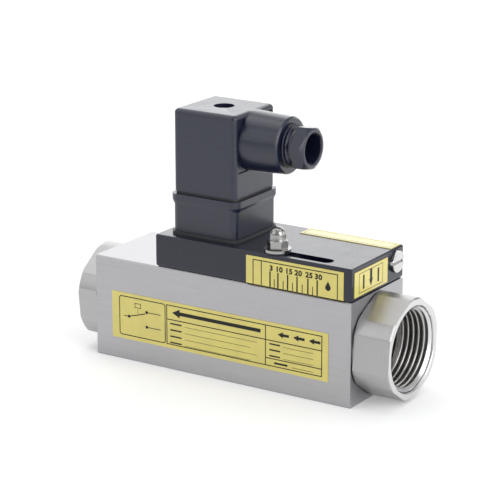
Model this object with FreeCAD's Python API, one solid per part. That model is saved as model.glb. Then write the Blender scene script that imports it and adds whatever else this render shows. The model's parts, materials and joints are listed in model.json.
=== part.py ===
"""Paddle flow switch with an adjustable reed contact and a square plug connector.

Frame: +X runs along the flow axis towards the inlet end, +Y points to the rear, +Z up.
The origin is the middle of the bar's underside. All sizes are in millimetres.

A two-armed paddle hangs in the bore. The flow comes in at +X and pushes the lower blade towards -X,
so the magnet on the upper arm moves towards +X under a thin-walled dome. A glass contact in a
carriage above that dome is set along a slot, and a domed nut locks it.
"""
import FreeCAD, Part
import math
import os

V = FreeCAD.Vector
X_AXIS = V(1, 0, 0)
Y_AXIS = V(0, 1, 0)
Z_AXIS = V(0, 0, 1)

# Bar
body_length = 119.0
body_width = 40.0
body_height = 42.0
body_edge = 0.5              # chamfer on the long edges
flow_bore_d = 26.0

# Threaded adaptors, one in each end
adaptor_d = 40.4             # corners of the hexagon are turned to this diameter
adaptor_flats = 38.0         # across flats
adaptor_chamfer = 0.5
inlet_reach = 15.9           # stands out of the bar
inlet_thread_depth = 13.0
inlet_turn = -4.0            # corner of its hexagon from upright, degrees towards the front
outlet_reach = 9.7
outlet_thread_depth = 8.0
outlet_turn = 6.0
thread_d = 33.25             # major diameter of the one-inch pipe thread
thread_runout = 1.2          # cone from the thread's root to the flow bore
mouth_d = 34.8               # countersunk mouth
spigot_d = 33.0
spigot_length = 12.0
spigot_gap = 0.5             # between the spigot's end and the bottom of its socket
seam_width = 0.45            # relief groove where the hexagon meets the bar
seam_depth = 1.6
oring_cord = 1.8
oring_depth = 1.4            # depth of the groove that squeezes it
oring_back = 4.0             # middle of the groove from the spigot's end
tap_spare = 0.3              # tapped hole deeper than its screw
sink = 0.5                   # how far a fused piece starts inside its neighbour

# Paddle and its carrier
pivot_x = 15.0
swing_start = -30.0          # tilt of the arm with no flow, degrees about +Y
pin_d = 3.0
pin_fit = 0.05               # radial clearance in the paddle's hub
hub_d = 6.6
hub_front = -5.0             # hub ends, along Y
hub_back = 1.1
blade_clear = 0.8            # between blade and bore
blade_t = 1.4
blade_top = 4.9              # blade's upper edge below the pin
neck_w = 8.6                 # neck that joins blade and hub
rib_w = 3.0                  # stiffening rib down the blade
rib_t = 1.6
rib_short = 3.5              # rib's end above the blade's lower edge
arm_w = 4.0
arm_root_w = 4.8
arm_tip_w = 3.4
holder_w = 5.6               # square magnet holder
magnet_d = 4.0
magnet_h = 4.0
magnet_r = 21.3              # middle of the magnet from the pin
pocket_floor = 0.8           # holder under the magnet
holder_rim = 0.1             # holder above the magnet
holder_corner = 1.0
cheek_gap = 10.8             # between the two cheeks
cheek_t = 1.6
cheek_root = 13.0
cheek_tip = 8.0
plate_l = 50.0
plate_w = 29.0
plate_t = 4.0
plate_r = 3.0
plate_clear = 0.1
window_l = 30.0
window_w = 15.0
window_r = 2.0
dome_clear = 0.45            # between the magnet holder's corner and the dome
dome_wall = 1.3
dome_half_l = 14.6           # half length of the dome's cavity
dome_half_w = 3.4
dome_side = 1.4
seal_t = 1.4
seal_w = 1.8
seal_margin = 1.2            # between window and seal groove
screw3_d = 3.0               # small screws: shank, head, head height
screw3_head = 5.6
head_edge = 0.3              # chamfer of cylindrical screw heads
screw_slot_w = 0.8
screw_slot_depth = 0.6
carrier_screw_x = 21.5
carrier_screw_y = 11.2
carrier_screw_l = 11.0
spring_wire = 0.6
spring_mean_d = 5.6          # its moving leg lies along the paddle's arm
spring_pitch = 0.85
spring_turns = 3.5
spring_leg = 5.5
spring_gap = 0.25            # between coil and hub

# Switch housing on top of the bar
housing_start = 29.6         # from the bar's left end to the housing's
housing_height = 13.3
housing_wall = 2.0
housing_roof = 2.3
housing_corner = 0.6
inner_corner = 1.5           # rounding of the cavity's upright corners
housing_edge = 0.5
housing_foot = 1.2           # rounding of the lower edge at the left end
slot_w = 5.4
slot_y = 5.0                 # middle of the slot from the front face
slot_end_gap = 0.25          # between stud and slot end at either limit
terminal_corner = 2.0        # rounding of the opening under the connector
set_x = 83.3                 # stud from the bar's left end at the lowest setting
set_travel = 22.4

# Stud, washers and domed nut
stud_d = 4.0
stud_flange_d = 5.0
stud_flange_t = 1.6
spacer_d = 10.2
spacer_t = 0.55
washer_d = 10.6
washer_t = 1.0
washer_hole = 4.3
slide_gap = 0.05             # between sliding faces
nut_flats = 7.2
nut_hex_h = 3.2
nut_h = 8.5
nut_dome_d = 6.5
nut_fit = 0.05
nut_depth = 5.6              # depth of the nut's blind hole
nut_turn = 21.5              # a corner of its hexagon from +X, degrees
nut_foot = 0.25              # chamfer of its seat
stud_short = 0.6             # stud's end below the bottom of that hole

# Reed carriage
carriage_h = 5.6
carriage_roof_gap = 0.15
carriage_front_gap = 0.2
rail_w = 6.4
rail_ahead = 5.4
cross_arm_w = 8.0
carriage_corner = 0.6
reed_offset = -18.0          # contact's middle from the stud
reed_block_l = 19.0
reed_block_w = 8.0
reed_d = 2.6
reed_l = 14.5
reed_cap_l = 1.5
reed_lead_d = 0.9
reed_shoulder = 0.8
reed_fit = 0.1               # glass in its bed

# End screws, their blocks and the blocks' screws
end_screw_inset = 6.2        # in from the rear face
end_screw_z = 8.1            # above the bar
end_screw_d = 4.0
end_screw_fit = 0.2          # radial clearance in the housing's end walls
end_head_d = 8.6
end_head_h = 3.3
end_head_proud = 1.6
end_slot_w = 1.2
end_slot_depth = 1.5
end_screw_l = 8.5
block_l = 8.8
block_w = 13.6
block_h = 10.8
block_gap = 0.2              # between block and the housing's walls
block_screw_inset = 12.6     # in from the rear face
block_screw_l = 15.0

# Connector base
plug_x = 49.1                # connector's middle from the bar's left end
base_side = 30.0
base_corner = 3.0
base_top = 16.4              # above the gasket
gasket_t = 1.1
gasket_lip = 0.8             # gasket beyond the base's sides
collar_lip = 0.85            # collar beyond the base's sides
collar_low = 12.0            # collar's lower edge above the housing
collar_taper = 1.8
base_floor = 5.0             # thickness left above the hollow underside
terminal_w = 17.0            # square hollow under the base, and opening in the housing
base_screw_edge = 3.8        # screw centre in from the base's side
base_screw_fit = 0.1
base_screw_sink = 2.4        # counterbore in the base's top
cheese_h = 1.9               # head height of the base's screws
base_screw_short = 0.2       # screw ends this far short of the housing's inner face
pillar_d = 7.6               # boss for the plug's screw
pillar_reach = 4.0           # boss below the base's floor
insert_d = 3.0
blade_offset = 7.33          # pole blades from the connector's middle
contact_w = 6.3
side_contact_w = 4.54        # the two blades at the sides
contact_t = 0.8
contact_up = 9.0
contact_down = 5.0
contact_tip = 0.25           # chamfer of the blades' tips
earth_offset = 7.4

# Plug
plug_side = 28.8
plug_corner = 1.9
plug_bottom = 17.4           # above the housing
plug_top = 50.3
plug_edge = 1.8              # rounding of the top edges
plug_wall = 2.6
plug_roof = 3.0
plug_inner_corner = 1.2
plug_pillar_wall = 1.2       # round the screw's counterbore
plug_pillar_l = 12.0         # below the roof
groove_inset = 0.3           # gasket set back from the plug's sides
groove_clear = 0.05
plug_hole_d = 8.2
plug_hole_depth = 9.0
plug_screw_fit = 0.25
plug_screw_head_d = 6.6
plug_screw_head_h = 3.0
plug_slot_w = 1.0
plug_slot_depth = 1.3
plug_slot_turn = 35.0        # degrees
plug_screw_engage = 5.0      # into the base
recess_depth = 0.6           # in the face that carries the gland boss
recess_low = 27.1            # its lower ledge above the housing
recess_high = 48.4
recess_half_w = 12.0
boss_root_d = 24.2
boss_tip_d = 22.6
boss_l = 16.7
boss_root = 3.0              # boss starts this far inside the plug's face
boss_z = 38.3                # gland axis above the housing
boss_chamfer = 0.7
gland_thread_d = 17.5
gland_thread_l = 11.0        # threaded length of the boss
insert_side = 21.6
insert_h = 13.0
insert_lip = 0.6             # insert stands out below the plug's lower edge
insert_corner = 1.6
insert_fit = 0.1             # between insert and gasket
blade_end_gap = 0.6          # slot goes on past the blades' tips
slot_play = 0.25             # round each contact blade
wire_way_d = 10.4            # bore from the boss into the plug
seal_bore_d = 10.0
ring_play = 0.4              # washer in the boss, radial
seal_play = 0.2              # seal in the boss, radial

# Gland screw
gland_gap = 4.3              # exposed thread between boss and hexagon
gland_flats = 16.0
gland_hex_l = 5.5
gland_hex_chamfer = 1.1
gland_bore_d = 12.2
gland_engage = 6.0
gland_play = 0.1             # between screw, washer and seal
gland_thread_fit = 0.06
gland_thread_tip = 0.6       # chamfer of the thread's end
gland_mouth = 0.6            # countersink of the bore, deep
gland_mouth_rise = 0.3       # and wide
gland_turn = 20.0            # corner of the hexagon from upright, degrees
gland_washer_t = 1.0

# Plates
plate_skin = 0.25
name_x, name_z, name_l, name_h = 8.0, 9.0, 101.2, 19.4
scale_x, scale_z, scale_l, scale_h = 72.3, 0.6, 43.3, 11.1
inlet_y, inlet_z, inlet_h = 1.9, 1.5, 9.9
inlet_screw_gap = 2.4        # between the plate and the end screw's head
strip_x, strip_l, strip_w = 77.2, 40.8, 7.9
strip_inset = 0.1            # from the housing's chamfer

# Places worked out from the sizes above
left = -body_length / 2
right = body_length / 2
front = -body_width / 2
back = body_width / 2
bore_z = body_height / 2
deck = body_height                                   # top of the bar
roof = deck + housing_height                         # top of the housing
ceiling = roof - housing_roof                        # its inner face
housing_left = left + housing_start
end_screw_y = back - end_screw_inset
block_screw_y = back - block_screw_inset
stud_x = left + set_x
stud_y = front + slot_y
plug_cx = left + plug_x
plug_cz = roof + boss_z
plug_face = plug_cx + plug_side / 2
collar_z = roof + collar_low
gasket_side = base_side + 2 * gasket_lip
collar_side = base_side + 2 * collar_lip
DOWN = V(0, 0, -1)
pivot = V(pivot_x, 0, bore_z)
carriage_top = ceiling - carriage_roof_gap
carriage_bottom = carriage_top - carriage_h


def box(x0, x1, y0, y1, z0, z1):
    """Block between two corners."""
    return Part.makeBox(x1 - x0, y1 - y0, z1 - z0, V(x0, y0, z0))


def rod(start, axis, diameter, length):
    """Cylinder from a start point along an axis."""
    return Part.makeCylinder(diameter / 2, length, start, axis)


def rounded_block(cx, cy, sx, sy, z0, z1, radius):
    """Upright block with rounded vertical corners."""
    solid = box(cx - sx / 2, cx + sx / 2, cy - sy / 2, cy + sy / 2, z0, z1)
    upright = [e for e in solid.Edges if abs(e.tangentAt(e.FirstParameter).z) > 0.99]
    return solid.makeFillet(radius, upright)


def hexagon(start, axis, flats, length, turn=0.0):
    """Hexagonal prism with a corner at `turn` degrees from its reference direction."""
    radius = flats / math.sqrt(3)
    reference = Z_AXIS if abs(axis.z) < 0.5 else X_AXIS
    other = axis.cross(reference)
    points = []
    for k in range(7):
        angle = math.radians(turn + 60 * k)
        points.append(start + reference * (radius * math.cos(angle)) + other * (radius * math.sin(angle)))
    return Part.Face(Part.makePolygon(points)).extrude(axis * length)


def turned(points, start, axis):
    """Solid of revolution from (distance along the axis, radius) points."""
    side = V(0, 0, 1) if abs(axis.z) < 0.5 else V(1, 0, 0)
    outline = [start + axis * a + side * r for a, r in points]
    return Part.Face(Part.makePolygon(outline + outline[:1])).revolve(start, axis, 360)


def fused(first, *others):
    """One clean solid from several."""
    return first.fuse(list(others)).removeSplitter() if others else first


def mirrored_x(shape, x=0.0):
    """Copy mirrored in a plane across X."""
    return shape.mirror(V(x, 0, 0), X_AXIS)


def countersunk(head_top, down, length, head_d=screw3_head, shank_d=screw3_d, slot=screw_slot_w):
    """Countersunk screw with a straight slot, and the solid that its hole removes."""
    rise = (head_d - shank_d) / 2
    outline = [(0, 0), (0, head_d / 2), (rise, shank_d / 2), (length, shank_d / 2), (length, 0)]
    solid = turned(outline, head_top, down)
    span = head_d + 1
    groove = box(head_top.x - span / 2, head_top.x + span / 2, head_top.y - slot / 2, head_top.y + slot / 2,
                 head_top.z - screw_slot_depth, head_top.z + screw_slot_depth)
    return solid.cut(groove), solid


# Bar

def make_body():
    """Square bar with its bore, adaptor sockets, paddle window, plate recess and screw holes."""
    bar = box(left, right, front, back, 0, deck)
    long_edges = [e for e in bar.Edges if abs(e.tangentAt(e.FirstParameter).x) > 0.99]
    bar = bar.makeChamfer(body_edge, long_edges)
    cuts = [rod(V(left - 1, 0, bore_z), X_AXIS, flow_bore_d, body_length + 2)]
    depth = spigot_length + spigot_gap
    cuts.append(rod(V(left - 1, 0, bore_z), X_AXIS, spigot_d, depth + 1))
    cuts.append(rod(V(right + 1, 0, bore_z), V(-1, 0, 0), spigot_d, depth + 1))
    cuts.append(rounded_block(pivot_x, 0, window_l, window_w, bore_z, deck + 1, window_r))
    cuts.append(rounded_block(pivot_x, 0, plate_l + 2 * plate_clear, plate_w + 2 * plate_clear,
                              deck - plate_t, deck + 1, plate_r + plate_clear))
    for x, y in carrier_screw_places():
        cuts.append(rod(V(x, y, deck), DOWN, screw3_d, carrier_screw_l + tap_spare))
    for x in block_centres():
        cuts.append(rod(V(x, block_screw_y, deck), DOWN, screw3_d, block_screw_l - block_h + tap_spare))
    return bar.cut(cuts)


def make_adaptor(reach, thread_depth, turn):
    """Right-hand adaptor: turned hexagon, countersunk threaded mouth and sealed spigot."""
    start = V(right, 0, bore_z)
    outer_r = adaptor_d / 2
    seam_r = outer_r - seam_depth
    blank = turned([(0, 0), (0, seam_r), (seam_width, seam_r), (seam_width, outer_r),
                    (reach - adaptor_chamfer, outer_r), (reach, outer_r - adaptor_chamfer), (reach, 0)],
                   start, X_AXIS)
    blank = blank.common(hexagon(start - X_AXIS, X_AXIS, adaptor_flats, reach + 2, turn))
    groove_in = -spigot_length + oring_back - oring_cord / 2
    groove_out = groove_in + oring_cord
    groove_r = spigot_d / 2 - oring_depth
    spigot = turned([(0, 0), (0, spigot_d / 2), (groove_out, spigot_d / 2), (groove_out, groove_r),
                     (groove_in, groove_r), (groove_in, spigot_d / 2), (-spigot_length, spigot_d / 2),
                     (-spigot_length, 0)], start, X_AXIS)
    mouth_rise = (mouth_d - thread_d) / 2
    core = turned([(-spigot_length - 1, 0), (-spigot_length - 1, flow_bore_d / 2),
                   (reach - thread_depth - thread_runout, flow_bore_d / 2),
                   (reach - thread_depth, thread_d / 2), (reach - mouth_rise, thread_d / 2),
                   (reach, mouth_d / 2), (reach + 1, mouth_d / 2), (reach + 1, 0)], start, X_AXIS)
    return fused(blank, spigot).cut(core)


def make_oring():
    """Right-hand adaptor seal, squeezed in its groove."""
    middle = right - spigot_length + oring_back
    ring_r = spigot_d / 2 - oring_depth / 2
    return Part.makeTorus(ring_r, oring_depth / 2, V(middle, 0, bore_z), X_AXIS)


# Paddle

def carrier_screw_places():
    """Centres of the four screws that hold the carrier plate."""
    return [(pivot_x + sx * carrier_screw_x, sy * carrier_screw_y) for sx in (-1, 1) for sy in (-1, 1)]


def swung(shape):
    """Paddle part turned from upright to its rest tilt."""
    turned_shape = shape.copy()
    turned_shape.rotate(pivot, Y_AXIS, swing_start)
    return turned_shape


def holder_ends():
    """Inner and outer ends of the magnet holder, from the pin."""
    return magnet_r - magnet_h / 2 - pocket_floor, magnet_r + magnet_h / 2 + holder_rim


def make_paddle():
    """Half-round blade, hub and upper arm in one casting, with a pocket for the magnet."""
    x, z = pivot.x, pivot.z
    blade_r = flow_bore_d / 2 - blade_clear
    disc = rod(V(x - blade_t / 2, 0, z), X_AXIS, 2 * blade_r, blade_t)
    blade = disc.common(box(x - blade_t, x + blade_t, -blade_r, blade_r, z - blade_r, z - blade_top))
    hub_foot = z - hub_d / 2 + sink
    neck = box(x - blade_t / 2, x + blade_t / 2, -neck_w / 2, neck_w / 2, z - blade_top - sink, hub_foot)
    rib = box(x - rib_w / 2, x + rib_w / 2, -rib_t / 2, rib_t / 2, z - blade_r + rib_short, hub_foot)
    hub = rod(V(x, hub_front, z), Y_AXIS, hub_d, hub_back - hub_front)
    inner, outer = holder_ends()
    arm_root = hub_d / 2
    root_w = arm_root_w / 2
    tip_w = arm_tip_w / 2
    arm = Part.Face(Part.makePolygon([
        V(x - root_w, -arm_w / 2, z + arm_root), V(x + root_w, -arm_w / 2, z + arm_root),
        V(x + tip_w, -arm_w / 2, z + inner), V(x - tip_w, -arm_w / 2, z + inner),
        V(x - root_w, -arm_w / 2, z + arm_root)])).extrude(Y_AXIS * arm_w)
    link = box(x - root_w, x + root_w, -arm_w / 2, hub_back, z, z + hub_d / 2 + sink)
    holder = rounded_block(x, 0, holder_w, holder_w, z + inner, z + outer, holder_corner)
    solid = fused(blade, neck, rib, hub, link, arm, holder)
    coil_d = spring_mean_d + spring_wire + 2 * spring_gap
    solid = solid.cut([rod(V(x, hub_back, z), Y_AXIS, coil_d, neck_w),
                       rod(V(x, hub_front - 1, z), Y_AXIS, pin_d + 2 * pin_fit, hub_back - hub_front + 2),
                       rod(V(x, 0, z + magnet_r - magnet_h / 2), Z_AXIS, magnet_d, magnet_h + 1)])
    return swung(solid)


def make_magnet():
    """Round magnet pressed into the holder."""
    return swung(rod(pivot + V(0, 0, magnet_r - magnet_h / 2), Z_AXIS, magnet_d, magnet_h))


def make_pin():
    """Hinge pin, pressed into both cheeks."""
    reach = cheek_gap / 2 + cheek_t
    return rod(V(pivot.x, -reach, pivot.z), Y_AXIS, pin_d, 2 * reach)


def make_spring():
    """Torsion spring round the pin: one wire swept along a leg, the coils and a second leg."""
    y0 = hub_back + spring_gap + spring_wire / 2
    y1 = y0 + spring_pitch * spring_turns
    radius = spring_mean_d / 2
    helix = Part.makeHelix(spring_pitch, spring_pitch * spring_turns, radius)
    helix.rotate(V(0, 0, 0), X_AXIS, -90)
    helix.translate(V(pivot.x, y0, pivot.z))
    first = V(pivot.x + radius, y0, pivot.z)
    last = V(pivot.x - radius, y1, pivot.z)
    path = Part.Wire([Part.makeLine(first + Z_AXIS * spring_leg, first)] + helix.Edges
                     + [Part.makeLine(last, last + Z_AXIS * spring_leg)])
    section = Part.Wire(Part.makeCircle(spring_wire / 2, first + Z_AXIS * spring_leg, Z_AXIS))
    return swung(path.makePipeShell([section], True, True))


def dome_radius():
    """Inner radius of the dome's arched roof, about the pin."""
    inner, outer = holder_ends()
    return math.hypot(outer, holder_w / 2) + dome_clear


def make_carrier():
    """Plate with two cheeks below it and an arched dome above it."""
    plate = rounded_block(pivot_x, 0, plate_l, plate_w, deck - plate_t, deck, plate_r)
    inner_r = dome_radius()
    outer_r = inner_r + dome_wall
    half_l = dome_half_l + dome_side
    half_w = dome_half_w + dome_side
    dome = rod(V(pivot.x, -half_w, pivot.z), Y_AXIS, 2 * outer_r, 2 * half_w)
    dome = dome.common(box(pivot_x - half_l, pivot_x + half_l, -half_w, half_w,
                           deck - sink, pivot.z + outer_r))
    y = cheek_gap / 2
    top = deck - plate_t + sink
    tip_r = cheek_tip / 2
    profile = Part.makePolygon([V(pivot_x - cheek_root / 2, y, top), V(pivot_x + cheek_root / 2, y, top),
                                V(pivot_x + tip_r, y, pivot.z), V(pivot_x - tip_r, y, pivot.z),
                                V(pivot_x - cheek_root / 2, y, top)])
    cheek = fused(Part.Face(profile).extrude(Y_AXIS * cheek_t),
                  rod(V(pivot_x, y, pivot.z), Y_AXIS, cheek_tip, cheek_t))
    solid = fused(plate, dome, cheek, cheek.mirror(V(0, 0, 0), Y_AXIS))
    cavity = rod(V(pivot.x, -dome_half_w, pivot.z), Y_AXIS, 2 * inner_r, 2 * dome_half_w)
    cavity = cavity.common(box(pivot_x - dome_half_l, pivot_x + dome_half_l, -dome_half_w, dome_half_w,
                               deck - plate_t - 1, pivot.z + inner_r))
    reach = cheek_gap / 2 + cheek_t
    cuts = [cavity, rod(V(pivot_x, -reach - 1, pivot.z), Y_AXIS, pin_d, 2 * reach + 2), seal_ring(seal_t)]
    for sx, sy in carrier_screw_places():
        cuts.append(countersunk(V(sx, sy, deck), DOWN, carrier_screw_l)[1])
    return solid.cut(cuts)


def seal_ring(height):
    """Rounded frame round the window, up from the recess floor."""
    floor = deck - plate_t
    inner_l = window_l + 2 * seal_margin
    inner_w = window_w + 2 * seal_margin
    inner_r = window_r + seal_margin
    outer = rounded_block(pivot_x, 0, inner_l + 2 * seal_w, inner_w + 2 * seal_w, floor, floor + height,
                          inner_r + seal_w)
    return outer.cut(rounded_block(pivot_x, 0, inner_l, inner_w, floor - 1, floor + height + 1, inner_r))


def make_carrier_screws():
    """Four countersunk screws as one group."""
    screws = [countersunk(V(x, y, deck), DOWN, carrier_screw_l)[0] for x, y in carrier_screw_places()]
    return Part.makeCompound(screws)


# Switch housing

def make_housing():
    """Shell open below, with the setting slot, the terminal opening and the screw holes."""
    length = right - housing_left
    cx = (right + housing_left) / 2
    outer = box(housing_left, right, front, back, deck, roof)
    corner = [e for e in outer.Edges if abs(e.tangentAt(e.FirstParameter).z) > 0.99]
    outer = outer.makeFillet(housing_corner, corner)
    foot = [e for e in outer.Edges if e.BoundBox.ZMax < deck + 0.01 and e.BoundBox.XMax < housing_left + 0.01]
    outer = outer.makeFillet(housing_foot, foot)
    rim = [e for e in outer.Edges if e.BoundBox.ZMin > roof - 0.01]
    outer = outer.makeChamfer(housing_edge, rim)
    cavity = rounded_block(cx, 0, length - 2 * housing_wall, body_width - 2 * housing_wall, deck - 1, ceiling,
                           inner_corner)
    cuts = [cavity, slot_cut(ceiling - 1, roof + 1)]
    cuts.append(rounded_block(plug_cx, 0, terminal_w, terminal_w, ceiling - 1, roof + 1, terminal_corner))
    for x, y in base_screw_places():
        cuts.append(rod(V(x, y, ceiling - 1), Z_AXIS, screw3_d, housing_roof + 2))
    z = deck + end_screw_z
    seat = end_head_h - end_head_proud
    for face, inward in ((right, -1), (housing_left, 1)):
        outside = V(face - inward, end_screw_y, z)
        for diameter, depth in ((end_screw_d, housing_wall + 1), (end_head_d, seat)):
            cuts.append(rod(outside, V(inward, 0, 0), diameter + 2 * end_screw_fit, 1 + depth))
    return outer.cut(cuts)


def slot_cut(z0, z1):
    """Long round-ended slot for the stud."""
    x0 = stud_x - slot_end_gap - stud_d / 2 + slot_w / 2
    x1 = stud_x + set_travel + slot_end_gap + stud_d / 2 - slot_w / 2
    middle = box(x0, x1, stud_y - slot_w / 2, stud_y + slot_w / 2, z0, z1)
    ends = [rod(V(x, stud_y, z0), Z_AXIS, slot_w, z1 - z0) for x in (x0, x1)]
    return fused(middle, *ends)


def block_centres():
    """X of the fixing blocks, left and right."""
    inset = housing_wall + block_gap + block_l / 2
    return housing_left + inset, right - inset


def make_blocks():
    """Two tapped blocks that the end screws pull on."""
    left_x, right_x = block_centres()
    y1 = back - housing_wall - block_gap
    block = rounded_block(right_x, y1 - block_w / 2, block_l, block_w, deck, deck + block_h,
                          inner_corner + block_gap / 2)
    z = deck + end_screw_z
    block = block.cut([rod(V(right_x - block_l, end_screw_y, z), X_AXIS, end_screw_d, 2 * block_l),
                       countersunk(V(right_x, block_screw_y, deck + block_h), DOWN, block_screw_l)[1]])
    return Part.makeCompound([block, mirrored_x(block, (left_x + right_x) / 2)])


def make_block_screws():
    """Countersunk screws of the fixing blocks."""
    return Part.makeCompound([countersunk(V(x, block_screw_y, deck + block_h), DOWN, block_screw_l)[0]
                              for x in block_centres()])


def make_end_screws():
    """Slotted cheese-head screws in the housing's two ends."""
    z = deck + end_screw_z
    head_r = end_head_d / 2
    face = right + end_head_proud
    total = end_head_h + end_screw_l
    screw = turned([(0, 0), (0, head_r - head_edge), (head_edge, head_r), (end_head_h, head_r),
                    (end_head_h, end_screw_d / 2), (total, end_screw_d / 2), (total, 0)],
                   V(face, end_screw_y, z), V(-1, 0, 0))
    slot = box(face - end_slot_depth, face + 1, end_screw_y - end_head_d, end_screw_y + end_head_d,
               z - end_slot_w / 2, z + end_slot_w / 2)
    screw = screw.cut(slot)
    return Part.makeCompound([screw, mirrored_x(screw, (housing_left + right) / 2)])


# Setting slider

def make_carriage():
    """Rail under the slot, with a cross arm and a block that holds the glass contact."""
    y0 = front + housing_wall + carriage_front_gap
    y1 = y0 + rail_w
    reed_x = stud_x + reed_offset
    z0, z1 = carriage_bottom, carriage_top
    rail = box(reed_x - reed_block_l / 2, stud_x + rail_ahead, y0, y1, z0, z1)
    arm = box(reed_x - reed_block_l / 2, reed_x - reed_block_l / 2 + cross_arm_w, y0, 0, z0, z1)
    block = box(reed_x - reed_block_l / 2, reed_x + reed_block_l / 2,
                -reed_block_w / 2, reed_block_w / 2, z0, z1)
    solid = fused(rail, arm, block)
    upright = [e for e in solid.Edges if e.Length > 1 and abs(e.tangentAt(e.FirstParameter).z) > 0.99]
    solid = solid.makeFillet(carriage_corner, upright)
    bore = reed_d + 2 * reed_fit
    bed_half = reed_l / 2 + reed_cap_l + 2 * reed_fit
    bed = box(reed_x - bed_half, reed_x + bed_half, -bore / 2, bore / 2, z0 - 1, z0 + bore)
    flange = rod(V(stud_x, stud_y, z0), Z_AXIS, stud_flange_d, stud_flange_t)
    return solid.cut([bed, flange, rod(V(stud_x, stud_y, z0), Z_AXIS, stud_d, carriage_h + 1)])


def make_reed():
    """Glass contact with its two metal end caps, lying in the carriage's bed."""
    reed_x = stud_x + reed_offset
    z = carriage_bottom + reed_d / 2 + 2 * reed_fit
    lead_r = reed_lead_d / 2
    shoulder = reed_cap_l + reed_shoulder
    r = reed_d / 2
    total = reed_l + 2 * reed_cap_l
    return turned([(0, 0), (0, lead_r), (reed_cap_l, lead_r), (shoulder, r), (total - shoulder, r),
                   (total - reed_cap_l, lead_r), (total, lead_r), (total, 0)],
                  V(reed_x - total / 2, 0, z), X_AXIS)


def stack_heights():
    """Heights of the spacer's underside, the washer's, the nut's and the nut's top."""
    spacer = roof + slide_gap
    washer = spacer + spacer_t
    nut = washer + washer_t
    return spacer, washer, nut, nut + nut_h


def make_stud():
    """Flanged stud through the slot."""
    top = stack_heights()[2] + nut_depth - stud_short
    flange = rod(V(stud_x, stud_y, carriage_bottom), Z_AXIS, stud_flange_d, stud_flange_t)
    return fused(flange, rod(V(stud_x, stud_y, carriage_bottom), Z_AXIS, stud_d, top - carriage_bottom))


def make_ring(diameter, thickness, z):
    """Flat washer on the stud."""
    ring = rod(V(stud_x, stud_y, z), Z_AXIS, diameter, thickness)
    return ring.cut(rod(V(stud_x, stud_y, z - 1), Z_AXIS, washer_hole, thickness + 2))


def make_acorn_nut():
    """Domed nut: chamfered hexagon, short neck and a round cap."""
    z = stack_heights()[2] + slide_gap
    corner_r = nut_flats / math.sqrt(3)
    dome_r = nut_dome_d / 2
    chamfer = corner_r - nut_flats / 2
    trim = turned([(0, 0), (0, corner_r - nut_foot), (nut_foot, corner_r), (nut_hex_h - chamfer, corner_r),
                   (nut_hex_h, nut_flats / 2), (nut_hex_h, 0)], V(stud_x, stud_y, z), Z_AXIS)
    hexa = hexagon(V(stud_x, stud_y, z), Z_AXIS, nut_flats, nut_hex_h, turn=nut_turn).common(trim)
    straight = nut_h - nut_hex_h - dome_r
    neck = rod(V(stud_x, stud_y, z + nut_hex_h - sink), Z_AXIS, nut_dome_d, straight + sink)
    cap = Part.makeSphere(dome_r, V(stud_x, stud_y, z + nut_hex_h + straight))
    hole = rod(V(stud_x, stud_y, z - 1), Z_AXIS, stud_d + 2 * nut_fit, nut_depth + 1)
    return fused(hexa, neck, cap).cut(hole)


# Connector base

def base_screw_places():
    """Centres of the four screws that hold the connector base."""
    h = base_side / 2 - base_screw_edge
    return [(plug_cx + sx * h, sy * h) for sx in (-1, 1) for sy in (-1, 1)]


def contact_places():
    """Centre and turn of each blade: two poles at the sides, one at the front, earth at the rear."""
    return [(plug_cx, -blade_offset, 0), (plug_cx - blade_offset, 0, 90),
            (plug_cx + blade_offset, 0, 90), (plug_cx, earth_offset, 0)]


def blade(x, y, turn, grow, z0, z1):
    """Flat contact blade, grown on all its sides by `grow`."""
    half_w = (side_contact_w if turn else contact_w) / 2 + grow
    half_t = contact_t / 2 + grow
    if turn:
        return box(x - half_t, x + half_t, y - half_w, y + half_w, z0, z1)
    return box(x - half_w, x + half_w, y - half_t, y + half_t, z0, z1)


def make_base_gasket():
    """Thin square gasket between the base and the housing."""
    ring = rounded_block(plug_cx, 0, gasket_side, gasket_side, roof, roof + gasket_t,
                         base_corner + gasket_lip)
    cuts = [rounded_block(plug_cx, 0, terminal_w, terminal_w, roof - 1, roof + gasket_t + 1, terminal_corner)]
    for x, y in base_screw_places():
        cuts.append(rod(V(x, y, roof - 1), Z_AXIS, screw3_d + 2 * base_screw_fit, gasket_t + 2))
    return ring.cut(cuts)


def make_base():
    """Square socket base with a wider tapered collar, a hollow underside and a tapped pillar."""
    z0 = roof + gasket_t
    z1 = roof + base_top
    lower = rounded_block(plug_cx, 0, base_side, base_side, z0, z1, base_corner)
    start = Part.Face(square_wire(base_side, base_corner, collar_z))
    end = Part.Face(square_wire(collar_side, base_corner + collar_lip, collar_z + collar_taper))
    taper = Part.makeLoft([start.OuterWire, end.OuterWire], True)
    collar = rounded_block(plug_cx, 0, collar_side, collar_side, collar_z + collar_taper, z1,
                           base_corner + collar_lip)
    solid = fused(lower, taper, collar)
    cuts = [rounded_block(plug_cx, 0, terminal_w, terminal_w, z0 - 1, z1 - base_floor, terminal_corner)]
    for x, y in base_screw_places():
        cuts.append(rod(V(x, y, z0 - 1), Z_AXIS, screw3_d + 2 * base_screw_fit, base_top + 2))
        cuts.append(rod(V(x, y, z1 - base_screw_sink), Z_AXIS, screw3_head, base_screw_sink + 1))
    for x, y, turn in contact_places():
        cuts.append(blade(x, y, turn, 0.0, z0, z1 + 1))
    solid = solid.cut(cuts)
    pillar = rod(V(plug_cx, 0, z1 - base_floor - pillar_reach), Z_AXIS, pillar_d, base_floor + pillar_reach)
    return fused(solid, pillar).cut(rod(V(plug_cx, 0, z1), DOWN, insert_d, plug_screw_engage + 1))


def square_wire(side, radius, z):
    """Rounded square outline about the connector's axis."""
    face = rounded_block(plug_cx, 0, side, side, z, z + 1, radius)
    bottom = [f for f in face.Faces if f.BoundBox.ZMax < z + 0.001][0]
    return bottom.OuterWire


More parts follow.
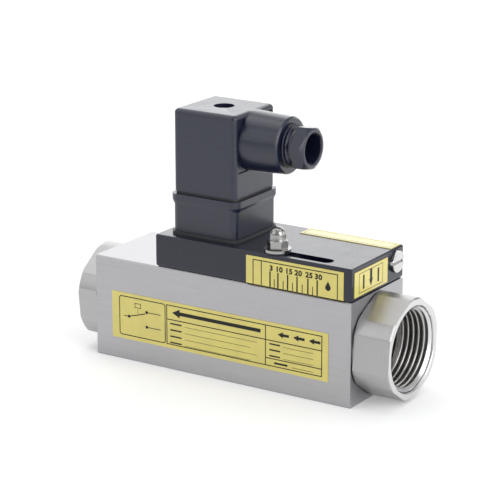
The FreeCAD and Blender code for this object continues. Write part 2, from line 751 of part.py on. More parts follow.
def make_base_screws():
    """Cheese-head screws through the base, gasket and housing roof."""
    z1 = roof + base_top
    head_top = z1 - base_screw_sink + cheese_h
    length = head_top - ceiling - base_screw_short
    head_r = screw3_head / 2 - base_screw_fit
    screws = []
    for x, y in base_screw_places():
        screw = turned([(0, 0), (0, head_r), (cheese_h, head_r), (cheese_h, screw3_d / 2),
                        (length, screw3_d / 2), (length, 0)], V(x, y, head_top), DOWN)
        half = screw_slot_w / 2
        screws.append(screw.cut(box(x - screw3_head, x + screw3_head, y - half, y + half,
                                    head_top - cheese_h / 2, head_top + 1)))
    return Part.makeCompound(screws)


def make_contacts():
    """Three pole blades and the earth blade."""
    z0 = roof + base_top - base_floor - contact_down
    z1 = roof + base_top + contact_up
    solids = []
    for x, y, turn in contact_places():
        plain = blade(x, y, turn, 0.0, z0, z1)
        tips = [e for e in plain.Edges if e.BoundBox.ZMin > z1 - 0.01 and e.Length > contact_t + 0.1]
        solids.append(plain.makeChamfer(contact_tip, tips))
    return Part.makeCompound(solids)


# Plug

def make_plug():
    """Angled moulded cap: hollow shell, rounded top, recessed face and tapered side boss."""
    z0 = roof + plug_bottom
    z1 = roof + plug_top
    outer = rounded_block(plug_cx, 0, plug_side, plug_side, z0, z1, plug_corner)
    outer = outer.makeFillet(plug_edge, [e for e in outer.Edges if e.BoundBox.ZMin > z1 - 0.01])
    recess = box(plug_face - recess_depth, plug_face + 1, -recess_half_w, recess_half_w,
                 roof + recess_low, roof + recess_high)
    outer = outer.cut(recess)
    start = V(plug_face - boss_root, 0, plug_cz)
    slope = (boss_root_d - boss_tip_d) / 2 / boss_l
    tip_r = boss_tip_d / 2
    reach = boss_root + boss_l
    boss = turned([(0, 0), (0, boss_root_d / 2 + boss_root * slope), (reach - boss_chamfer, tip_r),
                   (reach, tip_r - boss_chamfer), (reach, 0)], start, X_AXIS)
    boss = boss.common(box(plug_cx, plug_face + boss_l, -plug_side, plug_side, z0, z1))
    solid = fused(outer, boss)
    inner_side = plug_side - 2 * plug_wall
    cavity = rounded_block(plug_cx, 0, inner_side, inner_side, z0 - 1, z1 - plug_roof, plug_inner_corner)
    pillar_d_out = plug_hole_d + 2 * plug_pillar_wall
    pillar = rod(V(plug_cx, 0, z1 - plug_roof - plug_pillar_l), Z_AXIS, pillar_d_out, plug_pillar_l + sink)
    solid = fused(solid.cut(cavity), pillar)
    tip = V(plug_face + boss_l, 0, plug_cz)
    inward = V(-1, 0, 0)
    wire_way = rod(tip + X_AXIS, inward, wire_way_d, boss_l + plug_wall + 3)
    wire_way = wire_way.cut(rod(V(plug_cx, 0, z0), Z_AXIS, pillar_d_out, plug_top))
    cuts = [wire_way, rod(tip + X_AXIS, inward, gland_thread_d, gland_thread_l + 1),
            rod(V(plug_cx, 0, z1 + 1), DOWN, plug_hole_d, plug_hole_depth + 1),
            rod(V(plug_cx, 0, z1), DOWN, screw3_d + 2 * plug_screw_fit, plug_top)]
    return solid.cut(cuts)


def plug_screw_top():
    """Height of the plug screw's head."""
    return roof + plug_top - plug_hole_depth + plug_screw_head_h


def make_plug_screw():
    """Slotted centre screw that holds the plug down."""
    top = plug_screw_top() + slide_gap
    foot = roof + base_top - plug_screw_engage
    head_r = plug_screw_head_d / 2
    length = top - foot
    shank_r = screw3_d / 2 - pin_fit
    screw = turned([(0, 0), (0, head_r - head_edge), (head_edge, head_r), (plug_screw_head_h, head_r),
                    (plug_screw_head_h, shank_r), (length, shank_r), (length, 0)],
                   V(plug_cx, 0, top), DOWN)
    slot = box(plug_cx - head_r, plug_cx + head_r, -plug_slot_w / 2, plug_slot_w / 2,
               top - plug_slot_depth, top + 1)
    slot.rotate(V(plug_cx, 0, top), Z_AXIS, plug_slot_turn)
    return screw.cut(slot)


def make_insert():
    """Contact carrier inside the plug, with a slot for each blade and a bore for the screw."""
    z0 = roof + plug_bottom - insert_lip
    z1 = z0 + insert_h
    block = rounded_block(plug_cx, 0, insert_side, insert_side, z0, z1, insert_corner)
    cuts = [rod(V(plug_cx, 0, z0 - 1), Z_AXIS, screw3_d + 2 * plug_screw_fit, insert_h + 2)]
    for x, y, turn in contact_places():
        cuts.append(blade(x, y, turn, slot_play, z0 - 1, roof + base_top + contact_up + blade_end_gap))
    return block.cut(cuts)


def make_plug_gasket():
    """Square profile gasket under the plug."""
    z0 = roof + base_top + groove_clear
    z1 = roof + plug_bottom
    side = plug_side - 2 * groove_inset
    ring = rounded_block(plug_cx, 0, side, side, z0, z1, plug_corner - groove_inset / 2)
    hole = insert_side + 2 * insert_fit
    return ring.cut(rounded_block(plug_cx, 0, hole, hole, z0 - 1, z1 + 1, insert_corner + insert_fit))


# Cable gland

def gland_tip():
    """Outer end of the side boss on the gland's axis."""
    return V(plug_face + boss_l, 0, plug_cz)


def make_gland_screw():
    """Hollow pressure screw: thread, hexagon with a turned end and an open bore."""
    tip = gland_tip()
    thread_r = gland_thread_d / 2 - gland_thread_fit
    shank = turned([(-gland_engage, 0), (-gland_engage, thread_r - gland_thread_tip),
                    (gland_thread_tip - gland_engage, thread_r), (gland_gap, thread_r), (gland_gap, 0)],
                   tip, X_AXIS)
    corner_r = gland_flats / math.sqrt(3)
    c = gland_hex_chamfer
    trim = turned([(0, 0), (0, corner_r), (gland_hex_l - c, corner_r), (gland_hex_l, corner_r - 1.6 * c),
                   (gland_hex_l, 0)], tip + X_AXIS * gland_gap, X_AXIS)
    head = hexagon(tip + X_AXIS * gland_gap, X_AXIS, gland_flats, gland_hex_l, turn=gland_turn).common(trim)
    length = gland_engage + gland_gap + gland_hex_l
    bore = rod(tip - X_AXIS * (gland_engage + 1), X_AXIS, gland_bore_d, length + 2)
    end = gland_gap + gland_hex_l
    mouth = turned([(end - gland_mouth, 0), (end - gland_mouth, gland_bore_d / 2),
                    (end, gland_bore_d / 2 + gland_mouth_rise), (end, 0)], tip, X_AXIS)
    return fused(shank, head).cut([bore, mouth])


def make_gland_washer():
    """Pressure ring between screw and seal."""
    start = gland_tip() - X_AXIS * (gland_engage + gland_play)
    inward = V(-1, 0, 0)
    ring = rod(start, inward, gland_thread_d - 2 * ring_play, gland_washer_t)
    return ring.cut(rod(start + X_AXIS, inward, gland_bore_d, gland_washer_t + 2))


def make_gland_seal():
    """Rubber sleeve at the bottom of the boss."""
    start = gland_tip() - X_AXIS * (gland_engage + gland_play + gland_washer_t)
    inward = V(-1, 0, 0)
    length = gland_thread_l - gland_engage - gland_play - gland_washer_t
    sleeve = rod(start, inward, gland_thread_d - 2 * seal_play, length)
    return sleeve.cut(rod(start + X_AXIS, inward, seal_bore_d, length + 2))


# Plates

def front_plate(x, z, length, height):
    """Thin plate on the front face."""
    return box(x, x + length, front - plate_skin, front, z, z + height)


def make_inlet_plate():
    """Small plate on the housing's inlet end."""
    y1 = end_screw_y - end_head_d / 2 - inlet_screw_gap
    return box(right, right + plate_skin, front + inlet_y, y1, deck + inlet_z, deck + inlet_z + inlet_h)


def make_top_plate():
    """Strip along the rear edge of the housing's top."""
    y1 = back - housing_edge - strip_inset
    return box(left + strip_x, left + strip_x + strip_l, y1 - strip_w, y1, roof, roof + plate_skin)


def build():
    """Every node by name."""
    oring = make_oring()
    spacer_z, washer_z, _, _ = stack_heights()
    return {
        "body": make_body(),
        "inlet_adaptor": make_adaptor(inlet_reach, inlet_thread_depth, inlet_turn),
        "outlet_adaptor": mirrored_x(make_adaptor(outlet_reach, outlet_thread_depth, outlet_turn)),
        "inlet_oring": oring,
        "outlet_oring": mirrored_x(oring),
        "paddle": make_paddle(),
        "paddle_magnet": make_magnet(),
        "pivot_pin": make_pin(),
        "return_spring": make_spring(),
        "paddle_carrier": make_carrier(),
        "carrier_seal": seal_ring(seal_t),
        "carrier_screws": make_carrier_screws(),
        "switch_housing": make_housing(),
        "fixing_blocks": make_blocks(),
        "block_screws": make_block_screws(),
        "end_screws": make_end_screws(),
        "reed_carriage": make_carriage(),
        "reed_switch": make_reed(),
        "slider_stud": make_stud(),
        "spacer_washer": make_ring(spacer_d, spacer_t, spacer_z),
        "nut_washer": make_ring(washer_d, washer_t, washer_z),
        "acorn_nut": make_acorn_nut(),
        "base_gasket": make_base_gasket(),
        "connector_base": make_base(),
        "base_screws": make_base_screws(),
        "contact_blades": make_contacts(),
        "plug_housing": make_plug(),
        "plug_insert": make_insert(),
        "plug_gasket": make_plug_gasket(),
        "plug_screw": make_plug_screw(),
        "gland_screw": make_gland_screw(),
        "gland_washer": make_gland_washer(),
        "gland_seal": make_gland_seal(),
        "nameplate": front_plate(left + name_x, name_z, name_l, name_h),
        "scale_plate": front_plate(left + scale_x, deck + scale_z, scale_l, scale_h),
        "inlet_plate": make_inlet_plate(),
        "top_plate": make_top_plate(),
    }


os.makedirs("parts", exist_ok=True)
for name, shape in build().items():
    shape.exportStep(os.path.join("parts", name + ".step"))
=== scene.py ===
"""Looks of the paddle flow switch: finishes, fine pieces, printed marks, light and camera.

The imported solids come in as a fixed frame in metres, with +X towards the inlet end, +Y to the rear and +Z up.
Main forms are taken over as smooth-shaded copies. Threads, the domed nut, the gland screw and the prints are
modelled here, each as a piece that rides on its body.
"""
from __future__ import annotations

import json
import logging
import math
from contextlib import contextmanager
from dataclasses import dataclass, field
from enum import Enum
from functools import cache, partial
from typing import Callable, Iterator, Sequence

import bmesh
import bpy
from mathutils import Matrix, Vector

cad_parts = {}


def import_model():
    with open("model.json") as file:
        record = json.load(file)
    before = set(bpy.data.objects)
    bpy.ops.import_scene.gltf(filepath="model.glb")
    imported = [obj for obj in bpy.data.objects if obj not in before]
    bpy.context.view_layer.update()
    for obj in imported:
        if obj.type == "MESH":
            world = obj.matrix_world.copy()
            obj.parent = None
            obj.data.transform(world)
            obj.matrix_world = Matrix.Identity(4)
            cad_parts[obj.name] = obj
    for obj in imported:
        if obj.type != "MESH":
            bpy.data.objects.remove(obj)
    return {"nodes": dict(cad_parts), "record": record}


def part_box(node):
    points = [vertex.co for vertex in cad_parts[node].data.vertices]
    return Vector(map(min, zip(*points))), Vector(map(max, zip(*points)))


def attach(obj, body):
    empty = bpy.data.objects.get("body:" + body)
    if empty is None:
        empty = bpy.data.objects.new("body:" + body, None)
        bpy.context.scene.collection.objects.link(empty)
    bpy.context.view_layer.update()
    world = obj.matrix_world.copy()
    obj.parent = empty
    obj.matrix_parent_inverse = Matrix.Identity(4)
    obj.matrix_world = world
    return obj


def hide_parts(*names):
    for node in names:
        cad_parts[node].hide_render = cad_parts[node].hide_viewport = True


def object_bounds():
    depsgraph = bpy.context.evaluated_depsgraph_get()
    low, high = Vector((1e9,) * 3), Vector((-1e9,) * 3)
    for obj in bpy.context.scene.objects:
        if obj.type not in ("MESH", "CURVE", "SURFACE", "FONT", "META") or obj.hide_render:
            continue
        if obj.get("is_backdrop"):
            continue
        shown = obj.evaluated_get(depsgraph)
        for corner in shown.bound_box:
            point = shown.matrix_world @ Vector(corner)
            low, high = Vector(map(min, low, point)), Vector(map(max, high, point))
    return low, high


log = logging.getLogger("flow_switch")

MM = 0.001
FULL_TURN = 2 * math.pi
STEPS_PER_TURN = 64
MERGE = 1e-6
NOISE_SPAN = (0.3, 0.7)
ORIGIN = Vector((0, 0, 0))
Colour = tuple[float, float, float]
Point = tuple[float, float]
FaceTest = Callable[[Vector, Vector], bool]


class Axis(Enum):
    """Directions that pieces are built along."""

    X = Vector((1, 0, 0))
    Z = Vector((0, 0, 1))


class Grain(Enum):
    """How a metal surface was finished."""

    ALONG_X = "drawn along X"
    TURNED_X = "turned about X"
    TURNED_Z = "turned about Z"
    BLASTED = "fine blasted"


class Join(Enum):
    """How one solid acts on another."""

    CUT = "DIFFERENCE"
    TRIM = "INTERSECT"
    FUSE = "UNION"


class Mark(Enum):
    """Unit shapes that prints are made of."""

    SQUARE = "square"
    DISC = "disc"
    DROP = "drop"
    TRIANGLE = "triangle"


class Face(Enum):
    """Sides that carry a plate, each as the directions across and up its print."""

    FRONT = (Vector((1, 0, 0)), Vector((0, 0, 1)))
    END = (Vector((0, 1, 0)), Vector((0, 0, 1)))
    TOP = (Vector((1, 0, 0)), Vector((0, 1, 0)))


# Modelling helpers


def deselect_all() -> None:
    """Leaves nothing selected."""
    if bpy.context.mode != "OBJECT":
        bpy.ops.object.mode_set(mode="OBJECT")
    bpy.ops.object.select_all(action="DESELECT")


def activate(obj: bpy.types.Object) -> None:
    """Selects one object alone and makes it the active one.

    Args:
        obj: the object to work on next.
    """
    deselect_all()
    obj.select_set(True)
    bpy.context.view_layer.objects.active = obj


@contextmanager
def editing(obj: bpy.types.Object) -> Iterator[None]:
    """Edit mode on one object, with all of it selected at first.

    Args:
        obj: the mesh object to edit.
    """
    activate(obj)
    bpy.ops.object.mode_set(mode="EDIT")
    bpy.ops.mesh.select_mode(type="VERT")
    bpy.ops.mesh.select_all(action="SELECT")
    yield
    bpy.ops.object.mode_set(mode="OBJECT")


def select_vertices(obj: bpy.types.Object, test: Callable[[bmesh.types.BMVert], bool]) -> None:
    """Selects some vertices alone, in edit mode.

    Args:
        obj: the object in edit mode.
        test: takes a vertex and says whether it is wanted.
    """
    bpy.ops.mesh.select_all(action="SELECT")
    mesh = bmesh.from_edit_mesh(obj.data)
    for vertex in mesh.verts:
        vertex.select_set(test(vertex))
    bmesh.update_edit_mesh(obj.data)


def apply_modifier(obj: bpy.types.Object, kind: str, **values: object) -> None:
    """Adds a modifier with the given values and applies it.

    Args:
        obj: the object to change.
        kind: the modifier's type.
        **values: its settings by name.
    """
    activate(obj)
    modifier = obj.modifiers.new(kind.lower(), kind)
    for name, value in values.items():
        setattr(modifier, name, value)
    bpy.ops.object.modifier_apply(modifier=modifier.name)


def settle(obj: bpy.types.Object) -> None:
    """Moves an object's place into its mesh, so that the object sits at the origin."""
    activate(obj)
    bpy.ops.object.transform_apply(location=True, rotation=True, scale=True)


def close_up(obj: bpy.types.Object) -> None:
    """Merges doubles, fills open ends and turns all faces outwards."""
    with editing(obj):
        bpy.ops.mesh.remove_doubles(threshold=MERGE)
        bpy.ops.mesh.fill_holes(sides=0)
        bpy.ops.mesh.select_all(action="SELECT")
        bpy.ops.mesh.normals_make_consistent(inside=False)


def soften(obj: bpy.types.Object, angle: float = 30.0) -> None:
    """Shades a piece smooth up to an angle, with flat faces kept flat.

    Args:
        obj: the piece.
        angle: edges sharper than this many degrees stay sharp.
    """
    activate(obj)
    bpy.ops.object.shade_smooth_by_angle(angle=math.radians(angle))
    apply_modifier(obj, "WEIGHTED_NORMAL", mode="FACE_AREA", weight=90, keep_sharp=True)


def joined(name: str, pieces: Sequence[bpy.types.Object]) -> bpy.types.Object:
    """Joins several objects into one.

    Args:
        name: the new piece's name.
        pieces: the objects, whose places are already in their meshes.

    Returns:
        The joined object.
    """
    activate(pieces[0])
    for piece in pieces:
        piece.select_set(True)
    bpy.ops.object.join()
    result = bpy.context.view_layer.objects.active
    result.name = name
    return result


def outline_by_extrusion(name: str, points: Sequence[Vector], closed: bool = False) -> bpy.types.Object:
    """Draws a chain of edges: one vertex, extruded from point to point.

    Args:
        name: the object's name.
        points: the corners, in metres.
        closed: whether the last point is joined to the first.

    Returns:
        The object, at the origin.
    """
    deselect_all()
    bpy.ops.mesh.primitive_plane_add(size=MM)
    obj = bpy.context.active_object
    obj.name = name
    with editing(obj):
        bpy.ops.mesh.merge(type="CENTER")
        bpy.ops.transform.translate(value=points[0])
        for before, after in zip(points, points[1:]):
            bpy.ops.mesh.extrude_vertices_move(TRANSFORM_OT_translate={"value": after - before})
        if closed:
            select_vertices(obj, lambda vertex: len(vertex.link_edges) == 1)
            bpy.ops.mesh.edge_face_add()
    return obj


def turned(name: str, profile: Sequence[Point], start: Vector, axis: Axis,
           steps: int = 96) -> bpy.types.Object:
    """Solid of revolution, spun from a profile.

    Args:
        name: the object's name.
        profile: (distance along the axis, radius) pairs in millimetres, closed or ending on the axis.
        start: where the distance is zero, in metres.
        axis: the axis of revolution.
        steps: facets round the axis.

    Returns:
        The closed object, at the origin.
    """
    side = Vector((0, 0, 1)) if axis is Axis.X else Vector((1, 0, 0))
    points = [start + axis.value * (a * MM) + side * (r * MM) for a, r in profile]
    obj = outline_by_extrusion(name, points, closed=profile[0][1] > 0)
    with editing(obj):
        bpy.ops.mesh.spin(steps=steps, angle=FULL_TURN, center=start, axis=axis.value)
    close_up(obj)
    return obj


def hexagon(name: str, start: Vector, axis: Axis, flats: float, length: float,
            turn: float) -> bpy.types.Object:
    """Hexagonal prism.

    Args:
        name: the object's name.
        start: middle of its first face, in metres.
        axis: the direction it grows in.
        flats: size across flats in millimetres.
        length: in millimetres.
        turn: angle of a corner about the axis from +Z, or from +X on an upright prism, in degrees.

    Returns:
        The object, at the origin.
    """
    radius = flats / math.sqrt(3) * MM
    middle = axis.value * (length * MM / 2)
    deselect_all()
    bpy.ops.mesh.primitive_cylinder_add(vertices=6, radius=radius, depth=length * MM)
    obj = bpy.context.active_object
    obj.name = name
    corner = max(obj.data.vertices, key=lambda v: (v.co.z, v.co.y)).co
    base = math.atan2(corner.y, corner.x)
    obj.data.transform(Matrix.Rotation(-base, 4, "Z"))
    if axis is Axis.X:
        obj.data.transform(Matrix(((0, 0, 1, 0), (0, -1, 0, 0), (1, 0, 0, 0), (0, 0, 0, 1))))
    obj.data.transform(Matrix.Rotation(math.radians(turn), 4, axis.value))
    obj.data.transform(Matrix.Translation(start + middle))
    close_up(obj)
    return obj


def combine(obj: bpy.types.Object, tool: bpy.types.Object, way: Join) -> None:
    """Cuts, trims or fuses one closed solid with another, which is used up.

    Args:
        obj: the solid that stays.
        tool: the solid that acts on it.
        way: how it acts.
    """
    apply_modifier(obj, "BOOLEAN", operation=way.value, object=tool, solver="EXACT")
    bpy.data.objects.remove(tool)


def screw_ridge(name: str, section: Sequence[Point], start: Vector, pitch: float, turns: float,
                limit: Callable[[float], tuple[float, float]] | None = None) -> bpy.types.Object:
    """Helical ridge about an axis parallel to X, as the Screw modifier turns it.

    Args:
        name: the object's name.
        section: closed (distance along the axis, radius) outline of one ridge, in millimetres.
        start: where the ridge begins on the axis, in metres.
        pitch: in millimetres.
        turns: how many turns, not always whole ones.
        limit: takes a distance from the start in millimetres and gives the lowest and highest radius there.

    Returns:
        The closed ridge, at the origin.
    """
    points = [Vector((a * MM, 0, r * MM)) for a, r in section]
    obj = outline_by_extrusion(name, points, closed=True)
    steps = round(STEPS_PER_TURN * turns)
    apply_modifier(obj, "SCREW", axis="X", angle=FULL_TURN * turns, screw_offset=pitch * turns * MM,
                   iterations=1, steps=steps, render_steps=steps)
    close_up(obj)
    for vertex in obj.data.vertices if limit else ():
        radius = math.hypot(vertex.co.y, vertex.co.z)
        low, high = limit(vertex.co.x / MM)
        wanted = min(max(radius, low * MM), high * MM)
        vertex.co.y *= wanted / radius
        vertex.co.z *= wanted / radius
    obj.location = start
    settle(obj)
    return obj


# Finishes


class Tree:
    """Short hand for writing the nodes of a material or a world."""

    def __init__(self, owner: bpy.types.Material | bpy.types.World) -> None:
        """Starts with no nodes.

        Args:
            owner: the material or world.
        """
        owner.use_nodes = True
        self.nodes = owner.node_tree.nodes
        self.links = owner.node_tree.links
        self.nodes.clear()

    def add(self, kind: str, *inputs: object, operation: str = "", **values: object) -> bpy.types.Node:
        """Adds a node and sets or links its inputs.

        Args:
            kind: the node's type.
            *inputs: numbers or sockets for its first inputs, in order.
            operation: what it works out, where it has a choice.
            **values: numbers or sockets by the input's name, with underscores for spaces.

        Returns:
            The node.
        """
        node = self.nodes.new(kind)
        if operation:
            node.operation = operation
        named = [(node.inputs[name.replace("_", " ")], value) for name, value in values.items()]
        for socket, value in [*zip(node.inputs, inputs), *named]:
            if isinstance(value, bpy.types.NodeSocket):
                self.join(value, socket)
            else:
                socket.default_value = value
        return node

    def join(self, source: bpy.types.NodeSocket, target: bpy.types.NodeSocket) -> None:
        """Links two sockets."""
        self.links.new(source, target)


class Surface(Tree):
    """A material's nodes round one principled shader."""

    def __init__(self, name: str, **constants: object) -> None:
        """Starts a material.

        Args:
            name: the material's name.
            **constants: values that are the same all over the surface.
        """
        self.material = bpy.data.materials.new(name)
        super().__init__(self.material)
        self.shader = self.add("ShaderNodeBsdfPrincipled", **constants)
        self.output = self.add("ShaderNodeOutputMaterial", self.shader.outputs["BSDF"])

    def place(self, scale: Sequence[float], centre: Vector = ORIGIN) -> bpy.types.NodeSocket:
        """Object coordinates about a centre, scaled.

        Args:
            scale: features per metre along each axis.
            centre: the point that becomes zero.

        Returns:
            The vector socket.
        """
        coordinates = self.add("ShaderNodeTexCoord")
        mapping = self.add("ShaderNodeMapping", Vector=coordinates.outputs["Object"], Scale=scale,
                           Location=[-c * s for c, s in zip(centre, scale)])
        return mapping.outputs["Vector"]

    def around(self, axis: Axis, scale: float, centre: Vector) -> bpy.types.NodeSocket:
        """Coordinates that are constant along turning marks about an axis.

        Args:
            axis: the axis of the turned surface.
            scale: marks per metre.
            centre: a point on that axis.

        Returns:
            The vector socket: (distance along the axis, radius, 0).
        """
        split = self.add("ShaderNodeSeparateXYZ", self.place((scale,) * 3, centre)).outputs
        along, first, second = ("X", "Y", "Z") if axis is Axis.X else ("Z", "X", "Y")
        flat = self.add("ShaderNodeCombineXYZ", split[first], split[second])
        length = self.add("ShaderNodeVectorMath", flat.outputs[0], operation="LENGTH")
        return self.add("ShaderNodeCombineXYZ", split[along], length.outputs["Value"]).outputs[0]

    def noise(self, vector: bpy.types.NodeSocket, scale: float = 1.0,
              detail: float = 3.0) -> bpy.types.NodeSocket:
        """Noise on the given coordinates.

        Args:
            vector: the coordinates.
            scale: a further scale.
            detail: octaves.

        Returns:
            The value socket, about 0.5 on average.
        """
        node = self.add("ShaderNodeTexNoise", vector, Scale=scale, Detail=detail, Roughness=0.55)
        return node.outputs["Fac"]

    def roughen(self, value: bpy.types.NodeSocket, span: Point) -> None:
        """Lets the surface's roughness follow noise.

        Args:
            value: the noise.
            span: roughness at the low and the high end of the noise.
        """
        node = self.add("ShaderNodeMapRange", value, *NOISE_SPAN, *span)
        self.join(node.outputs["Result"], self.shader.inputs["Roughness"])

    def tint(self, value: bpy.types.NodeSocket, colour: Colour, swing: float) -> None:
        """Colours the surface around one colour.

        Args:
            value: noise that drives the change.
            colour: the middle colour, linear.
            swing: how far it goes to each side, as a share.
        """
        ramp = self.add("ShaderNodeValToRGB", value)
        for stop, place, factor in zip(ramp.color_ramp.elements, NOISE_SPAN, (1 - swing, 1 + swing)):
            stop.position = place
            stop.color = (*(min(1.0, c * factor) for c in colour), 1.0)
        self.join(ramp.outputs["Color"], self.shader.inputs["Base Color"])

    def relief(self, value: bpy.types.NodeSocket, depth: float, strength: float) -> None:
        """Adds bump to the surface, on top of bump added before.

        Args:
            value: the height.
            depth: depth of the marks in millimetres.
            strength: how much of it shows.
        """
        node = self.add("ShaderNodeBump", Strength=strength, Distance=depth * MM, Height=value)
        before = self.shader.inputs["Normal"].links
        if before:
            self.join(before[0].from_socket, node.inputs["Normal"])
        self.join(node.outputs["Normal"], self.shader.inputs["Normal"])


@dataclass(frozen=True)
class Finish:
    """What all finishes share: a name and the record's slot that it stands for."""

    slot: str
    colour: Colour

    def material(self) -> bpy.types.Material:
        """The finish as a material."""
        raise NotImplementedError


@dataclass(frozen=True)
class Metal(Finish):
    """Bare metal with the marks of its making."""

    grain: Grain = Grain.BLASTED
    centre: Vector = field(default_factory=ORIGIN.copy)
    roughness: Point = (0.28, 0.40)
    marks: float = 1100.0
    stretch: float = 45.0
    depth: float = 0.012
    mottle: float = 0.05
    marks_share: float = 0.75

    def material(self) -> bpy.types.Material:
        """Metal whose roughness, colour and relief follow its grain."""
        tree = Surface(self.slot, Metallic=1.0)
        turning = {Grain.TURNED_X: Axis.X, Grain.TURNED_Z: Axis.Z}
        if self.grain in turning:
            vector = tree.around(turning[self.grain], self.marks, self.centre)
        else:
            along = self.stretch if self.grain is Grain.ALONG_X else self.marks
            vector = tree.place((along, self.marks, self.marks), self.centre)
        marks = tree.noise(vector, detail=4.0)
        cloud = tree.noise(tree.place((1, 1, 1)), scale=90.0, detail=2.0)
        share = self.marks_share
        faded = tree.add("ShaderNodeMath", cloud, 1 - share, operation="MULTIPLY")
        blend = tree.add("ShaderNodeMath", marks, share, faded.outputs[0], operation="MULTIPLY_ADD")
        tree.tint(blend.outputs[0], self.colour, self.mottle)
        tree.roughen(blend.outputs[0], self.roughness)
        tree.relief(marks, self.depth, strength=0.6)
        return tree.material


@dataclass(frozen=True)
class Dark(Finish):
    """Satin black surface, anodised or moulded, with a soft sheen at low angles."""

    roughness: Point = (0.36, 0.44)
    grain: float = 5000.0
    depth: float = 0.006
    index: float = 1.5
    coat: float = 0.3
    coat_roughness: float = 0.3
    sheen: float = 0.0
    sheen_roughness: float = 0.3
    bands: float = 0.0
    swing: float = 0.12

    def material(self) -> bpy.types.Material:
        """Dark dielectric with fine grain, faint clouds and a clear coat."""
        tree = Surface(self.slot, IOR=self.index, Sheen_Weight=self.sheen,
                       Sheen_Roughness=self.sheen_roughness, Sheen_Tint=(0.92, 0.95, 1.0, 1.0),
                       Coat_Weight=self.coat, Coat_Roughness=self.coat_roughness, Coat_IOR=1.5)
        grain = tree.noise(tree.place((self.grain,) * 3), detail=2.0)
        cloud = tree.noise(tree.place((1, 1, 1 + self.bands)), scale=140.0)
        tree.tint(cloud, self.colour, self.swing)
        tree.roughen(cloud, self.roughness)
        if self.bands:
            tree.relief(cloud, depth=0.05, strength=0.5)
        tree.relief(grain, self.depth, strength=0.5)
        return tree.material


@dataclass(frozen=True)
class Soft(Finish):
    """Rubber, plain plastic and other matt materials."""

    roughness: Point = (0.5, 0.65)
    grain: float = 2500.0
    depth: float = 0.01
    specular: float = 0.5
    coat: float = 0.0

    def material(self) -> bpy.types.Material:
        """Matt dielectric with fine grain."""
        tree = Surface(self.slot, Specular_IOR_Level=self.specular, Coat_Weight=self.coat, Coat_Roughness=0.2)
        grain = tree.noise(tree.place((self.grain,) * 3), detail=2.0)
        cloud = tree.noise(tree.place((1, 1, 1)), scale=160.0, detail=2.0)
        tree.tint(cloud, self.colour, swing=0.05)
        tree.roughen(cloud, self.roughness)
        tree.relief(grain, self.depth, strength=0.5)
        return tree.material


@dataclass(frozen=True)
class ClearGlass(Finish):
    """Thin drawn glass with faint lengthwise streaks."""

    def material(self) -> bpy.types.Material:
        """Glass whose roughness follows its streaks."""
        tree = Surface(self.slot, Transmission_Weight=0.9)
        streak = tree.noise(tree.place((60, 2400, 2400)), detail=2.0)
        tree.tint(streak, self.colour, swing=0.04)
        tree.roughen(streak, (0.03, 0.10))
        return tree.material


class Wardrobe:
    """All finishes by the record's slot."""

    def __init__(self, bore: Vector, nut: Vector) -> None:
        """Makes every material once.

        Args:
            bore: a point on the flow axis.
            nut: a point on the stud's axis.
        """
        steel = (0.43, 0.425, 0.44)
        turned_steel = partial(Metal, grain=Grain.TURNED_X, centre=bore, depth=0.003)
        finishes: list[Finish] = [
            Metal("bar_steel", steel, grain=Grain.ALONG_X, roughness=(0.30, 0.42), marks=1700.0,
                  stretch=30.0, mottle=0.075),
            turned_steel("adaptor_steel", (0.43, 0.427, 0.43), roughness=(0.33, 0.42), marks=2600.0,
                         mottle=0.06),
            # Freshly faced adaptor ends; also painted on the pipe thread's crests as a highlight.
            turned_steel("faced_steel", (0.68, 0.68, 0.68), roughness=(0.24, 0.34), marks=2400.0),
            turned_steel("thread_steel", (0.47, 0.46, 0.445), roughness=(0.24, 0.34), marks=2400.0),
            Metal("small_steel", steel, roughness=(0.28, 0.40), marks=2200.0),
            Metal("bright_screws", (0.66, 0.66, 0.65), roughness=(0.16, 0.28), marks=2500.0, depth=0.004),
            Metal("polished_steel", (0.36, 0.355, 0.35), grain=Grain.TURNED_Z, centre=nut,
                  roughness=(0.20, 0.28), marks=3500.0, depth=0.0015),
            Metal("block_alloy", (0.70, 0.70, 0.72), grain=Grain.ALONG_X, roughness=(0.25, 0.38),
                  stretch=90.0),
            Metal("magnet_metal", (0.50, 0.50, 0.52), roughness=(0.15, 0.25), marks=1800.0, depth=0.003),
            Metal("tinned_brass", (0.72, 0.70, 0.62), roughness=(0.20, 0.32), marks=1500.0, depth=0.004),
            Dark("black_alloy", (0.003, 0.005, 0.018), roughness=(0.22, 0.30), index=1.40, coat=0.45,
                 coat_roughness=0.16, sheen=0.15, sheen_roughness=0.2),
            Dark("black_plastic", (0.006, 0.009, 0.028), roughness=(0.36, 0.46), index=1.42, coat=0.7,
                 coat_roughness=0.26, grain=4200.0, sheen=1.0, sheen_roughness=0.16, bands=11.0, swing=0.35),
            Soft("insert_plastic", (0.10, 0.10, 0.11), roughness=(0.40, 0.5)),
            Soft("carriage_plastic", (0.80, 0.80, 0.78), roughness=(0.38, 0.48)),
            Soft("seal_rubber", (0.045, 0.045, 0.048), roughness=(0.50, 0.62), depth=0.015),
            Soft("yellow_plate", (0.72, 0.62, 0.15), roughness=(0.30, 0.40), grain=3000.0, depth=0.003,
                 coat=0.8),
            Soft("print_ink", (0.012, 0.012, 0.010), roughness=(0.40, 0.5), depth=0.002, specular=0.3),
            ClearGlass("reed_glass", (0.75, 0.88, 0.80)),
        ]
        self.materials = {finish.slot: finish.material() for finish in finishes}

    def __getitem__(self, slot: str) -> bpy.types.Material:
        """The material of one slot."""
        return self.materials[slot]


# Frame


